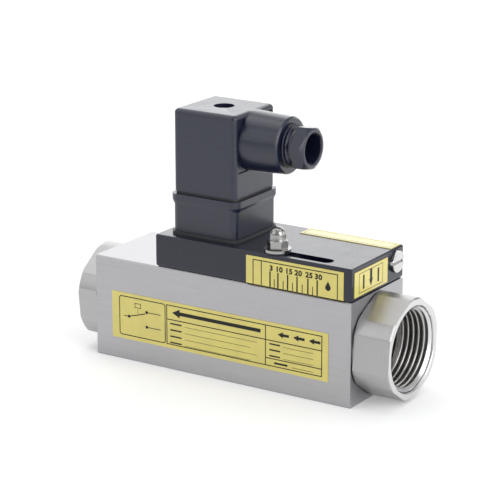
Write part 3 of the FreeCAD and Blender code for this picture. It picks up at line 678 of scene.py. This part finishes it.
class Frame:
    """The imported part: its nodes, which body carries each, and its finishes."""

    def __init__(self) -> None:
        """Loads the frame and dresses every node of it."""
        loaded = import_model()
        self.nodes: dict[str, bpy.types.Object] = loaded["nodes"]
        record = loaded["record"]
        self.body_of = {node: body for body, nodes in record["behaviour"]["bodies"].items() for node in nodes}
        self.slot_of = {part["node"]: part["material_slot"] for part in record["subparts"]}
        self.start_box = [list(corner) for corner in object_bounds()]
        self.bore = self.middle("inlet_adaptor")
        self.nut = self.middle("acorn_nut")
        self.wardrobe = Wardrobe(self.bore, self.nut)
        for name, node in self.nodes.items():
            self.dress(node, self.slot_of[name])

    def middle(self, node: str) -> Vector:
        """Middle of a node's box."""
        low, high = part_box(node)
        return (low + high) / 2

    def off_axis(self, point: Vector) -> float:
        """Distance of a point from the flow axis, in millimetres."""
        return math.hypot(point.y - self.bore.y, point.z - self.bore.z) / MM

    def dress(self, obj: bpy.types.Object, slot: str) -> None:
        """Gives an object one finish.

        Args:
            obj: a node or a piece.
            slot: the finish's slot.
        """
        obj.data.materials.clear()
        obj.data.materials.append(self.wardrobe[slot])

    def hand_over(self, obj: bpy.types.Object, node: str, finish: str = "", replace: bool = False) -> None:
        """Ends the work on a piece: finish, body, slot and what it stands for.

        Args:
            obj: the finished piece, at the origin.
            node: the CAD node whose body and slot it takes.
            finish: the finish, where it isn't the slot's own.
            replace: whether it stands for that node.
        """
        slot = self.slot_of[node]
        self.dress(obj, finish or slot)
        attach(obj, self.body_of[node])
        if replace:
            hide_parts(node)
        log.info("%s rides on %s, %d faces", obj.name, self.body_of[node], len(obj.data.polygons))

    def take_over(self, node: str, angle: float) -> bpy.types.Object:
        """Stands a merged, smooth-shaded copy in for a node.

        Args:
            node: the node's name.
            angle: edges sharper than this many degrees stay sharp.

        Returns:
            The copy.
        """
        copy = bpy.data.objects.new(node + "_surface", self.nodes[node].data.copy())
        bpy.context.scene.collection.objects.link(copy)
        with editing(copy):
            bpy.ops.mesh.remove_doubles(threshold=MERGE)
            bpy.ops.mesh.dissolve_limited(angle_limit=math.radians(0.05), use_dissolve_boundaries=False)
        soften(copy, angle)
        self.hand_over(copy, node, replace=True)
        return copy

    def second_finish(self, obj: bpy.types.Object, finish: str, test: FaceTest) -> None:
        """Gives some faces of a dressed piece another finish.

        Args:
            obj: the dressed piece.
            finish: the other finish.
            test: takes a face's centre and normal and says whether it gets that finish.
        """
        obj.data.materials.append(self.wardrobe[finish])
        index = len(obj.data.materials) - 1
        for face in obj.data.polygons:
            if test(face.center, face.normal):
                face.material_index = index


# Sub-assemblies


@dataclass
class PipePort:
    """Internal pipe thread of one adaptor."""

    frame: Frame
    node: str
    outward: int
    turns: float = 6.6
    pitch: float = 2.309
    major: float = 33.25
    minor: float = 30.29
    overrun: float = 0.6
    countersink: float = 34.8
    bury: float = 0.06
    cone_spare: float = 0.05
    cone_reach: float = 0.5
    bright_depth: float = 2.4
    # width of the crest band that is painted brighter as a highlight, in millimetres
    crest_highlight_band: float = 0.12

    def section(self) -> list[Point]:
        """Rounded ridge between root and crest, rooted just inside the wall."""
        root, crest, half = self.major / 2, self.minor / 2, self.pitch / 2
        flank = [(0.93, root + self.bury), (0.80, root - 0.08), (0.40, crest + 0.42), (0.26, crest + 0.10),
                 (0.10, crest)]
        return [(-half * share, radius) for share, radius in flank] \
            + [(half * share, radius) for share, radius in reversed(flank)]

    def build(self) -> None:
        """Turns the thread out of the run-out at the bore and cuts it back with the countersink's cone."""
        low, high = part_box(self.node)
        mouth = high.x if self.outward > 0 else low.x
        length = self.turns * self.pitch - self.overrun
        ridge = screw_ridge(self.node + "_thread", self.section(), ORIGIN, self.pitch, self.turns)
        rim = self.countersink / 2 + self.cone_spare
        inner, outer = self.minor / 2 - self.cone_reach, self.major / 2 + self.cone_reach
        beyond = length + 3
        cone = [(length + inner - rim, 0), (length + inner - rim, inner), (length + outer - rim, outer),
                (beyond, outer), (beyond, 0)]
        combine(ridge, turned("cone", cone, ORIGIN, Axis.X, steps=128), Join.CUT)
        if self.outward < 0:
            ridge.data.transform(Matrix.Rotation(math.pi, 4, "Z"))
        start = Vector((mouth - self.outward * length * MM, self.frame.bore.y, self.frame.bore.z))
        ridge.data.transform(Matrix.Translation(start))
        soften(ridge, angle=40.0)
        self.frame.hand_over(ridge, self.node, finish="thread_steel")

        def faced_end_and_crest_highlight(centre: Vector, normal: Vector) -> bool:
            """The ridge's trimmed end at the countersink, and its narrow top, whose brighter finish is a
            painted highlight.
            """
            near_mouth = abs(mouth - centre.x) / MM < self.bright_depth
            return near_mouth or self.frame.off_axis(centre) < self.minor / 2 + self.crest_highlight_band

        # The crest band gets the brighter faced finish: a painted highlight along the thread's crests.
        self.frame.second_finish(ridge, "faced_steel", faced_end_and_crest_highlight)


@dataclass
class DomedNut:
    """Polished domed nut on the slider's stud."""

    frame: Frame
    node: str = "acorn_nut"
    flats: float = 7.2
    hex_height: float = 3.2
    foot_chamfer: float = 0.3
    dome: float = 6.5
    neck_fillet: float = 0.35
    turn: float = 21.5
    hole: float = 4.1
    hole_depth: float = 5.6

    def build(self) -> None:
        """Hexagon trimmed by a cone, with a spun neck and dome and a blind hole."""
        low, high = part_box(self.node)
        seat = Vector((self.frame.nut.x, self.frame.nut.y, low.z))
        total, top = (high.z - low.z) / MM, self.hex_height
        corner, dome_r, fillet = self.flats / math.sqrt(3), self.dome / 2, self.neck_fillet
        rise, clear = corner - self.flats / 2, corner + 0.02
        body = hexagon("acorn_nut_surface", seat, Axis.Z, self.flats, top, self.turn)
        trim = [(0, 0), (0, corner - self.foot_chamfer), (self.foot_chamfer, clear), (top - rise, clear),
                (top, self.flats / 2 - 0.05), (top, 0)]
        combine(body, turned("trim", trim, seat, Axis.Z, steps=144), Join.TRIM)
        neck = [(top - 0.4, 0), (top - 0.4, dome_r + fillet), (top, dome_r + fillet),
                (top + 0.1, dome_r + 0.1), (top + fillet, dome_r)]
        angles = [math.radians(5 * k) for k in range(18)]
        arc = [(total - dome_r + dome_r * math.sin(angle), dome_r * math.cos(angle)) for angle in angles]
        combine(body, turned("cap", [*neck, *arc, (total, 0)], seat, Axis.Z), Join.FUSE)
        bore = [(-1, 0), (-1, self.hole / 2), (self.hole_depth, self.hole / 2), (self.hole_depth + 1, 0)]
        combine(body, turned("bore", bore, seat, Axis.Z, steps=48), Join.CUT)
        soften(body, angle=25.0)
        self.frame.hand_over(body, self.node, replace=True)


@dataclass
class GlandScrew:
    """Hollow pressure screw of the cable gland, with its exposed thread."""

    frame: Frame
    node: str = "gland_screw"
    flats: float = 16.0
    hex_length: float = 5.5
    turn: float = 20.0
    bore: float = 12.2
    thread: float = 17.38
    root: float = 15.3
    pitch: float = 1.5
    neck: float = 0.6
    thread_start: float = 0.5
    fade: float = 0.3

    def build(self) -> None:
        """Hexagon with a turned end, ring face, neck and thread."""
        low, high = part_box(self.node)
        middle = self.frame.middle(self.node)
        start = Vector((low.x, middle.y, middle.z))
        total = (high.x - low.x) / MM
        hex_start = total - self.hex_length
        corner, flat = self.flats / math.sqrt(3), self.flats / 2
        inner, root = self.bore / 2, self.root / 2
        piece = hexagon("gland_screw_surface", start + Axis.X.value * (hex_start * MM), Axis.X, self.flats,
                        self.hex_length, self.turn)
        trim = [(hex_start - 0.2, 0), (hex_start - 0.2, corner - 0.1), (hex_start + 0.5, corner + 0.05),
                (total - 1.5, corner + 0.05), (total - 0.35, flat - 0.15), (total - 0.12, flat - 0.42),
                (total, flat - 0.8), (total, 0)]
        combine(piece, turned("trim", trim, start, Axis.X, steps=144), Join.TRIM)
        shank = [(0, 0), (0, root - 0.4), (0.5, root), (hex_start - self.neck, root),
                 (hex_start + 0.3, root - 0.5), (hex_start + 0.3, 0)]
        combine(piece, turned("shank", shank, start, Axis.X), Join.FUSE)
        hole = [(-1, 0), (-1, inner), (total - 0.6, inner), (total - 0.15, inner + 0.25),
                (total + 0.5, inner + 0.9), (total + 0.5, 0)]
        combine(piece, turned("hole", hole, start, Axis.X), Join.CUT)
        soften(piece, angle=28.0)
        piece = joined("gland_screw_surface", [piece, self.ridge(start, hex_start)])
        self.frame.hand_over(piece, self.node, replace=True)

    def ridge(self, start: Vector, hex_start: float) -> bpy.types.Object:
        """Outer thread from the screw's end to its neck.

        Args:
            start: the screw's inner end on its axis.
            hex_start: where the hexagon begins, in millimetres from there.

        Returns:
            The thread ridge.
        """
        root, crest, half = self.root / 2, self.thread / 2, self.pitch / 2
        flank = [(0.92, root - 0.1), (0.80, root + 0.05), (0.22, crest - 0.08)]
        section = [(-half * share, radius) for share, radius in flank] + [(0.0, crest)] \
            + [(half * share, radius) for share, radius in reversed(flank)]
        turns = int((hex_start - self.neck - self.fade) / self.pitch)
        length = turns * self.pitch

        def limit(x: float) -> tuple[float, float]:
            """Crest radius, which tapers at both ends of the thread."""
            nearest = max(0.0, min(x, length - x) + self.fade)
            return 0.0, root + (crest - root) * min(1.0, nearest / self.pitch)

        begin = start + Axis.X.value * (self.thread_start * MM)
        ridge = screw_ridge("gland_thread", section, begin, self.pitch, turns, limit)
        soften(ridge, angle=50.0)
        return ridge


@dataclass
class InkSheet:
    """Flat printed marks on one plate, in the plate's own plane."""

    frame: Frame
    name: str
    plate: str
    face: Face
    ink_height: float = 0.03
    boldness: float = 0.045
    spacing: float = 1.08
    font_height: float = 0.70
    pieces: list[bpy.types.Object] = field(default_factory=list)

    def stamp(self, mark: Mark, centre: Point, size: Point, angle: float = 0.0) -> None:
        """Adds a copy of a unit shape.

        Args:
            mark: the shape.
            centre: its middle, in millimetres.
            size: its length and width, in millimetres.
            angle: its turn, in radians.
        """
        mesh = unit_shape(mark).copy()
        place = Matrix.Translation(Vector((centre[0] * MM, centre[1] * MM, 0)))
        stretch = Matrix.Diagonal((size[0] * MM, size[1] * MM, 1, 1))
        mesh.transform(place @ Matrix.Rotation(angle, 4, "Z") @ stretch)
        obj = bpy.data.objects.new(self.name + "_mark", mesh)
        bpy.context.scene.collection.objects.link(obj)
        self.pieces.append(obj)

    def bar(self, u0: float, v0: float, u1: float, v1: float) -> None:
        """Filled rectangle between two corners, in millimetres."""
        self.stamp(Mark.SQUARE, ((u0 + u1) / 2, (v0 + v1) / 2), (abs(u1 - u0), abs(v1 - v0)))

    def line(self, start: Point, end: Point, width: float) -> None:
        """Straight line between two points.

        Args:
            start: first end, in millimetres.
            end: last end.
            width: in millimetres.
        """
        run = Vector((end[0] - start[0], end[1] - start[1]))
        middle = ((start[0] + end[0]) / 2, (start[1] + end[1]) / 2)
        self.stamp(Mark.SQUARE, middle, (run.length + width, width), math.atan2(run.y, run.x))

    def arrow(self, tail: Point, tip: Point, width: float, head: float) -> None:
        """Arrow with a filled head.

        Args:
            tail: its start, in millimetres.
            tip: its point.
            width: of the shaft.
            head: length of the head.
        """
        run = Vector((tip[0] - tail[0], tip[1] - tail[1]))
        way = run.normalized()
        neck = (tip[0] - way.x * head, tip[1] - way.y * head)
        self.line(tail, (neck[0] - way.x * width / 2, neck[1] - way.y * width / 2), width)
        middle = ((tip[0] + neck[0]) / 2, (tip[1] + neck[1]) / 2)
        self.stamp(Mark.TRIANGLE, middle, (head, head), math.atan2(run.y, run.x))

    def outline(self, u0: float, v0: float, u1: float, v1: float, width: float, radius: float = 0.0) -> None:
        """Closed rectangular line, rounded where a radius is given.

        Args:
            u0: left, in millimetres.
            v0: bottom.
            u1: right.
            v1: top.
            width: of the line.
            radius: of its corners.
        """
        deselect_all()
        bpy.ops.mesh.primitive_plane_add(size=1, location=((u0 + u1) / 2 * MM, (v0 + v1) / 2 * MM, 0))
        obj = bpy.context.active_object
        obj.scale = ((u1 - u0) * MM, (v1 - v0) * MM, 1)
        settle(obj)
        with editing(obj):
            if radius:
                bpy.ops.mesh.bevel(offset=radius * MM, segments=6, affect="VERTICES")
            bpy.ops.mesh.select_all(action="SELECT")
            bpy.ops.mesh.inset(thickness=width * MM)
            bpy.ops.mesh.delete(type="FACE")
        self.pieces.append(obj)

    def numeral(self, text: str, centre: Point, height: float, squeeze: float) -> None:
        """Upright number.

        Args:
            text: the digits.
            centre: its middle, in millimetres.
            height: of the digits.
            squeeze: width over the font's own.
        """
        deselect_all()
        bpy.ops.object.text_add()
        words = bpy.context.active_object.data
        words.body = text
        words.align_x, words.align_y = "CENTER", "CENTER"
        words.size = 1.0
        words.offset = self.boldness
        words.space_character = self.spacing
        words.resolution_u = 4
        bpy.ops.object.convert(target="MESH")
        obj = bpy.context.active_object
        size = height / self.font_height * MM
        obj.data.transform(Matrix.Diagonal((squeeze * size, size, 1, 1)))
        obj.data.transform(Matrix.Translation(Vector((centre[0] * MM, centre[1] * MM, 0))))
        self.pieces.append(obj)

    def print_marks(self) -> None:
        """Joins the marks, gives them the ink's thickness and lays them on the plate."""
        sheet = joined(self.name, self.pieces)
        self.face_outwards(sheet)
        up = sheet.data.polygons[0].normal.z
        apply_modifier(sheet, "SOLIDIFY", thickness=self.ink_height * MM, offset=1.0 if up > 0 else -1.0)
        across, upward = self.face.value
        normal = across.cross(upward)
        low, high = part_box(self.plate)
        origin = Vector([top if out > 0.5 else bottom for bottom, top, out in zip(low, high, normal)])
        basis = Matrix((across, upward, normal)).transposed().to_4x4()
        sheet.data.transform(Matrix.Translation(origin) @ basis)
        sheet.matrix_world = Matrix.Identity(4)
        self.face_outwards(sheet)
        self.frame.hand_over(sheet, self.plate, finish="print_ink")

    def face_outwards(self, sheet: bpy.types.Object) -> None:
        """Turns all of a sheet's faces outwards."""
        with editing(sheet):
            bpy.ops.mesh.normals_make_consistent(inside=False)


@cache
def unit_shape(mark: Mark) -> bpy.types.Mesh:
    """Flat shape one unit across, modelled once.

    Args:
        mark: the shape.

    Returns:
        Its mesh, to be copied.
    """
    deselect_all()
    if mark is Mark.SQUARE:
        bpy.ops.mesh.primitive_plane_add(size=1)
    else:
        corners = 3 if mark is Mark.TRIANGLE else 24
        bpy.ops.mesh.primitive_circle_add(vertices=corners, radius=0.5, fill_type="NGON")
    obj = bpy.context.active_object
    if mark is Mark.DROP:
        with editing(obj):
            select_vertices(obj, lambda vertex: vertex.co.y > 0.3)
            bpy.ops.mesh.merge(type="CENTER")
            bpy.ops.transform.translate(value=(0, 0.62, 0))
    mesh = obj.data.copy()
    bpy.data.objects.remove(obj)
    if mark is Mark.TRIANGLE:
        tail, tip, broader = -0.25, 0.5, 1.15
        middle = Matrix.Translation(Vector((-(tail + tip) / 2, 0, 0)))
        stretch = Matrix.Diagonal((1 / (tip - tail), broader, 1, 1))
        mesh.transform(Matrix.Rotation(-math.pi / 2, 4, "Z"))
        mesh.transform(stretch @ middle)
    return mesh


@dataclass
class ScalePlate:
    """Setting scale on the housing's front: frame, ticks and numbers."""

    frame: Frame
    node: str = "scale_plate"
    long_ticks: tuple[tuple[str, float], ...] = (("3", 10.9), ("10", 14.45), ("15", 18.8), ("20", 23.0),
                                                 ("25", 27.8), ("30", 31.9))
    short_ticks: tuple[float, ...] = (12.8, 16.8, 21.0, 25.3, 29.9)
    line: float = 0.38
    left: float = 3.2
    cell: float = 6.95
    right: float = 40.7
    foot: float = 0.05
    top: float = 10.0
    long_top: float = 6.2
    long_half: float = 0.3
    short_top: float = 3.4
    short_half: float = 0.17
    digit: float = 2.0
    digit_middle: float = 7.5
    digit_shift: float = 0.5
    digit_squeeze: float = 1.08
    drop: Point = (36.6, 4.0)
    drop_size: float = 2.4

    def build(self) -> None:
        """Prints the scale."""
        sheet = InkSheet(self.frame, "scale_print", self.node, Face.FRONT)
        half, under = self.line / 2, self.top - self.line
        for u in (self.left, self.cell, self.right):
            sheet.bar(u - half, self.foot, u + half, under)
        sheet.bar(self.left - half, under, self.right + half, self.top)
        for text, u in self.long_ticks:
            sheet.bar(u - self.long_half, self.foot, u + self.long_half, self.long_top)
            sheet.numeral(text, (u + self.digit_shift, self.digit_middle), self.digit, self.digit_squeeze)
        for u in self.short_ticks:
            sheet.bar(u - self.short_half, self.foot, u + self.short_half, self.short_top)
        sheet.stamp(Mark.DROP, self.drop, (self.drop_size, self.drop_size))
        sheet.print_marks()


@dataclass
class InletPlate:
    """Plate on the inlet end: a frame, and an arrow between two strokes."""

    frame: Frame
    node: str = "inlet_plate"
    front_margin: float = 3.3
    rear_margin: float = 3.8
    border: float = 1.0
    line: float = 0.22
    arrow_tail: float = 2.1
    arrow_tip: float = 1.9
    stroke_middle: float = 5.6
    stroke_half: float = 0.6
    stroke_margin: float = 2.2

    def build(self) -> None:
        """Prints the frame, the arrow and the strokes."""
        low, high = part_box(self.node)
        length, height = (high.y - low.y) / MM, (high.z - low.z) / MM
        sheet = InkSheet(self.frame, "inlet_print", self.node, Face.END)
        left, right = self.front_margin, length - self.rear_margin
        sheet.outline(left, self.border, right, height - self.border, self.line)
        middle = (left + right) / 2
        sheet.arrow((middle, height - self.arrow_tail), (middle, self.arrow_tip), width=1.7, head=2.9)
        foot, top = self.stroke_margin, height - self.stroke_margin
        for side in (-1, 1):
            u = middle + side * self.stroke_middle
            sheet.bar(u - self.stroke_half, foot, u + self.stroke_half, top)
        sheet.print_marks()


@dataclass
class TopStrip:
    """Plain strip along the rear of the housing's top, with a thin border."""

    frame: Frame
    node: str = "top_plate"
    border: float = 1.0
    line: float = 0.18

    def build(self) -> None:
        """Prints the border."""
        low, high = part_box(self.node)
        length, width = (high.x - low.x) / MM, (high.y - low.y) / MM
        sheet = InkSheet(self.frame, "strip_print", self.node, Face.TOP)
        sheet.outline(self.border, self.border, length - self.border, width - self.border, self.line)
        sheet.print_marks()


@dataclass
class NamePlate:
    """Plate on the bar's front: ruled fields, a flow arrow and a plain contact diagram."""

    frame: Frame
    node: str = "nameplate"
    line: float = 0.38
    gap: float = 0.22
    panel_left: float = 3.5
    panel_split: float = 26.4
    panel_right: float = 73.2
    end: float = 98.7
    bottom: float = 1.5
    top: float = 18.1
    header: float = 12.05
    last_row: float = 4.7

    def build(self) -> None:
        """Prints all three panels."""
        sheet = InkSheet(self.frame, "name_print", self.node, Face.FRONT)
        line, half = self.line, self.line / 2
        left = self.panel_split + self.gap
        sheet.outline(self.panel_left, self.bottom, self.panel_split - self.gap, self.top, line, radius=1.2)
        sheet.outline(left, self.bottom, self.end, self.top, line)
        sheet.bar(self.panel_right - half, self.bottom + line, self.panel_right + half, self.top - line)
        sheet.bar(left + line, self.header - half, self.panel_right - half, self.header + half)
        for row in (self.header, self.last_row):
            sheet.bar(self.panel_right + half, row - half, self.end - line, row + half)
        self.flow_header(sheet)
        self.fields(sheet)
        self.diagram(sheet)
        sheet.print_marks()

    def flow_header(self, sheet: InkSheet) -> None:
        """Arrow that shows the flow from the inlet end, and three short ones beside it.

        Args:
            sheet: where it is printed.
        """
        middle = (self.header + self.top) / 2
        margin, first, step, length = 3.0, self.panel_right + 5.5, 7.0, 4.6
        left, right = self.panel_split + margin, self.panel_right - margin
        sheet.arrow((right, middle), (left, middle), width=1.5, head=3.6)
        for k in range(3):
            u = first + step * k
            sheet.arrow((u + length, middle), (u, middle), width=1.1, head=2.4)

    def fields(self, sheet: InkSheet) -> None:
        """Blank ruled fields: a short bold dash and a thin rule in each row.

        Args:
            sheet: where they are printed.
        """
        pitch = (self.header - self.bottom) / 4
        for k in range(4):
            v = self.header - pitch * (k + 0.62)
            sheet.bar(self.panel_split + 2.0, v - 0.3, self.panel_split + 7.5, v + 0.3)
            sheet.bar(self.panel_split + 9.0, v - 0.45, self.panel_right - 4.0 - 3.0 * (k % 2), v - 0.3)
        for k in range(3):
            v = self.header - pitch * 0.92 * (k + 0.58)
            sheet.bar(self.panel_right + 1.8, v - 0.3, self.panel_right + 6.6, v + 0.3)
            sheet.bar(self.panel_right + 8.0, v - 0.45, self.end - 4.0, v - 0.3)
        v = (self.bottom + self.last_row) / 2
        sheet.bar(self.panel_right + 4.0, v - 0.4, self.panel_right + 10.0, v + 0.4)
        sheet.bar(self.panel_right + 12.0, v - 0.5, self.end - 4.0, v - 0.32)

    def diagram(self, sheet: InkSheet) -> None:
        """Plain change-over contact: common on the left, two contacts on the right.

        Args:
            sheet: where it is printed.
        """
        common, upper, lower = (8.3, 9.8), (17.0, 12.9), (17.0, 6.7)
        left, right, gap = 5.8, 23.6, 0.8
        sheet.line((left, common[1]), (common[0] - gap, common[1]), width=0.3)
        sheet.line((common[0] + 0.84, common[1] + 0.25), (16.15, 12.1), width=0.4)
        for spot in (common, upper, lower):
            sheet.stamp(Mark.DISC, spot, (1.3, 1.3))
        for spot in (upper, lower):
            sheet.line((spot[0] + gap, spot[1]), (right, spot[1]), width=0.3)
        sheet.outline(11.2, 13.9, 14.2, 15.9, width=0.25)
        for v in (11.9, 12.8):
            sheet.line((12.7, v), (12.7, v + 0.35), width=0.22)


@dataclass
class SurfaceCopies:
    """Main forms whose shape is right and that only need smooth shading."""

    frame: Frame
    nodes: tuple[str, ...] = ("inlet_adaptor", "outlet_adaptor", "switch_housing", "connector_base",
                              "plug_housing", "plug_gasket", "base_gasket", "end_screws", "plug_screw",
                              "nut_washer", "spacer_washer", "body", "paddle", "gland_seal", "gland_washer")
    stepped: tuple[str, ...] = ("connector_base", "plug_housing")
    stepped_angle: float = 15.0
    angle: float = 30.0
    bore_reach: float = 18.0
    faced_depth: float = 1.5

    def build(self) -> None:
        """Takes each of them over."""
        for node in self.nodes:
            copy = self.frame.take_over(node, self.stepped_angle if node in self.stepped else self.angle)
            if node.endswith("_adaptor"):
                self.brighten_end(copy)

    def brighten_end(self, adaptor: bpy.types.Object) -> None:
        """Freshly faced end, countersink and bore of an adaptor, brighter than its drawn flats.

        Args:
            adaptor: the adaptor's dressed copy.
        """
        low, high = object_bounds()

        def inside(centre: Vector, normal: Vector) -> bool:
            """The bore's wall, shoulder and countersink."""
            return self.frame.off_axis(centre) < self.bore_reach

        def faced(centre: Vector, normal: Vector) -> bool:
            """End face and countersink."""
            depth = min(high[0] - centre.x, centre.x - low[0]) / MM
            return depth < self.faced_depth and (abs(normal.x) > 0.9 or inside(centre, normal))

        self.frame.second_finish(adaptor, "thread_steel", inside)
        self.frame.second_finish(adaptor, "faced_steel", faced)


# Light, floor and camera


@dataclass
class Softbox:
    """Large soft lamp that faces the object."""

    name: str
    towards: Vector
    distance: float
    width: float
    height: float
    radiance: float

    def build(self, target: Vector) -> None:
        """Hangs the lamp.

        Args:
            target: the point that it faces.
        """
        data = bpy.data.lights.new(self.name, "AREA")
        data.shape = "RECTANGLE"
        data.size = self.width
        data.size_y = self.height
        data.energy = self.radiance * math.pi * self.width * self.height
        lamp = bpy.data.objects.new(self.name, data)
        bpy.context.scene.collection.objects.link(lamp)
        way = self.towards.normalized()
        lamp.location = target + way * self.distance
        lamp.rotation_euler = (-way).to_track_quat("-Z", "Y").to_euler()
        lamp.visible_camera = False


@dataclass
class Studio:
    """Pale floor, white surround, soft lamps and the photograph's camera."""

    camera_place: Vector = field(default_factory=lambda: Vector((0.43126, -0.66901, 0.28514)))
    azimuth: float = 32.71
    elevation: float = 16.56
    lens: float = 151.2
    aim: Vector = field(default_factory=lambda: Vector((0, 0, 0.04)))
    floor_size: float = 12.0
    floor_glow: float = 0.22
    world_light: float = 0.45
    # Each lamp's name, direction from the aim, distance, width, height and radiance.
    lamps: tuple[Softbox, ...] = (
        Softbox("rear_box", Vector((-0.50, 0.80, 0.36)), 1.6, 2.2, 1.3, 1.5),
        Softbox("right_box", Vector((0.95, -0.25, 0.45)), 1.4, 1.0, 1.2, 2.6),
        Softbox("right_rear_box", Vector((0.75, 0.60, 0.22)), 1.6, 1.0, 0.7, 1.6),
        Softbox("top_box", Vector((0.1, 0.15, 1.0)), 1.5, 1.4, 1.4, 0.9),
        Softbox("front_box", Vector((-0.55, -0.85, 0.65)), 1.5, 1.2, 1.2, 0.9),
        Softbox("upper_left_box", Vector((-0.60, 0.05, 0.85)), 1.4, 0.9, 0.9, 1.2),
    )

    def build(self) -> None:
        """Sets up floor, world, lamps and camera."""
        self.floor()
        self.world()
        for lamp in self.lamps:
            lamp.build(self.aim)
        self.camera()

    def floor(self) -> None:
        """Large pale floor that keeps the object's soft shadow."""
        deselect_all()
        bpy.ops.mesh.primitive_plane_add(size=self.floor_size)
        floor = bpy.context.active_object
        floor.name = "floor"
        tree = Surface("pale_floor", Roughness=0.9)
        tree.tint(tree.noise(tree.place((1, 1, 1)), scale=3.0), (0.80, 0.80, 0.80), swing=0.01)
        ray = tree.add("ShaderNodeLightPath").outputs
        seen = tree.add("ShaderNodeMath", ray["Is Camera Ray"], ray["Is Glossy Ray"], operation="MAXIMUM")
        power = tree.add("ShaderNodeMath", seen.outputs[0], self.floor_glow, operation="MULTIPLY")
        glow = tree.add("ShaderNodeEmission", Strength=power.outputs[0])
        both = tree.add("ShaderNodeAddShader", tree.shader.outputs["BSDF"], glow.outputs[0])
        tree.join(both.outputs[0], tree.output.inputs["Surface"])
        floor.data.materials.append(tree.material)
        floor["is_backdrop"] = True

    def world(self) -> None:
        """White to the camera, pale grey as a light."""
        world = bpy.data.worlds.new("surround")
        bpy.context.scene.world = world
        tree = Tree(world)
        shown = tree.add("ShaderNodeBackground", (1, 1, 1, 1), 1.0)
        light = tree.add("ShaderNodeBackground", (0.98, 0.99, 1.0, 1), self.world_light)
        ray = tree.add("ShaderNodeLightPath").outputs
        mix = tree.add("ShaderNodeMixShader", ray["Is Camera Ray"], light.outputs[0], shown.outputs[0])
        tree.add("ShaderNodeOutputWorld", mix.outputs[0])

    def camera(self) -> None:
        """Camera at the photograph's viewing angle."""
        data = bpy.data.cameras.new("camera")
        data.lens = self.lens
        data.sensor_width = 36.0
        data.clip_start = 0.01
        data.clip_end = 100.0
        camera = bpy.data.objects.new("camera", data)
        bpy.context.scene.collection.objects.link(camera)
        azimuth, elevation = math.radians(self.azimuth), math.radians(self.elevation)
        back = Vector((math.sin(azimuth) * math.cos(elevation), -math.cos(azimuth) * math.cos(elevation),
                       math.sin(elevation)))
        camera.location = self.camera_place
        camera.rotation_euler = (-back).to_track_quat("-Z", "Y").to_euler()
        bpy.context.scene.camera = camera


def main() -> None:
    """Builds every sub-assembly, then the studio."""
    logging.basicConfig(level=logging.INFO, format="%(name)s: %(message)s")
    frame = Frame()
    SurfaceCopies(frame).build()
    PipePort(frame, "inlet_adaptor", 1).build()
    PipePort(frame, "outlet_adaptor", -1, turns=4.5).build()
    DomedNut(frame).build()
    GlandScrew(frame).build()
    ScalePlate(frame).build()
    InletPlate(frame).build()
    TopStrip(frame).build()
    NamePlate(frame).build()
    Studio().build()
    scene = bpy.context.scene
    scene.view_settings.view_transform = "Standard"


if __name__ == "__main__":
    main()
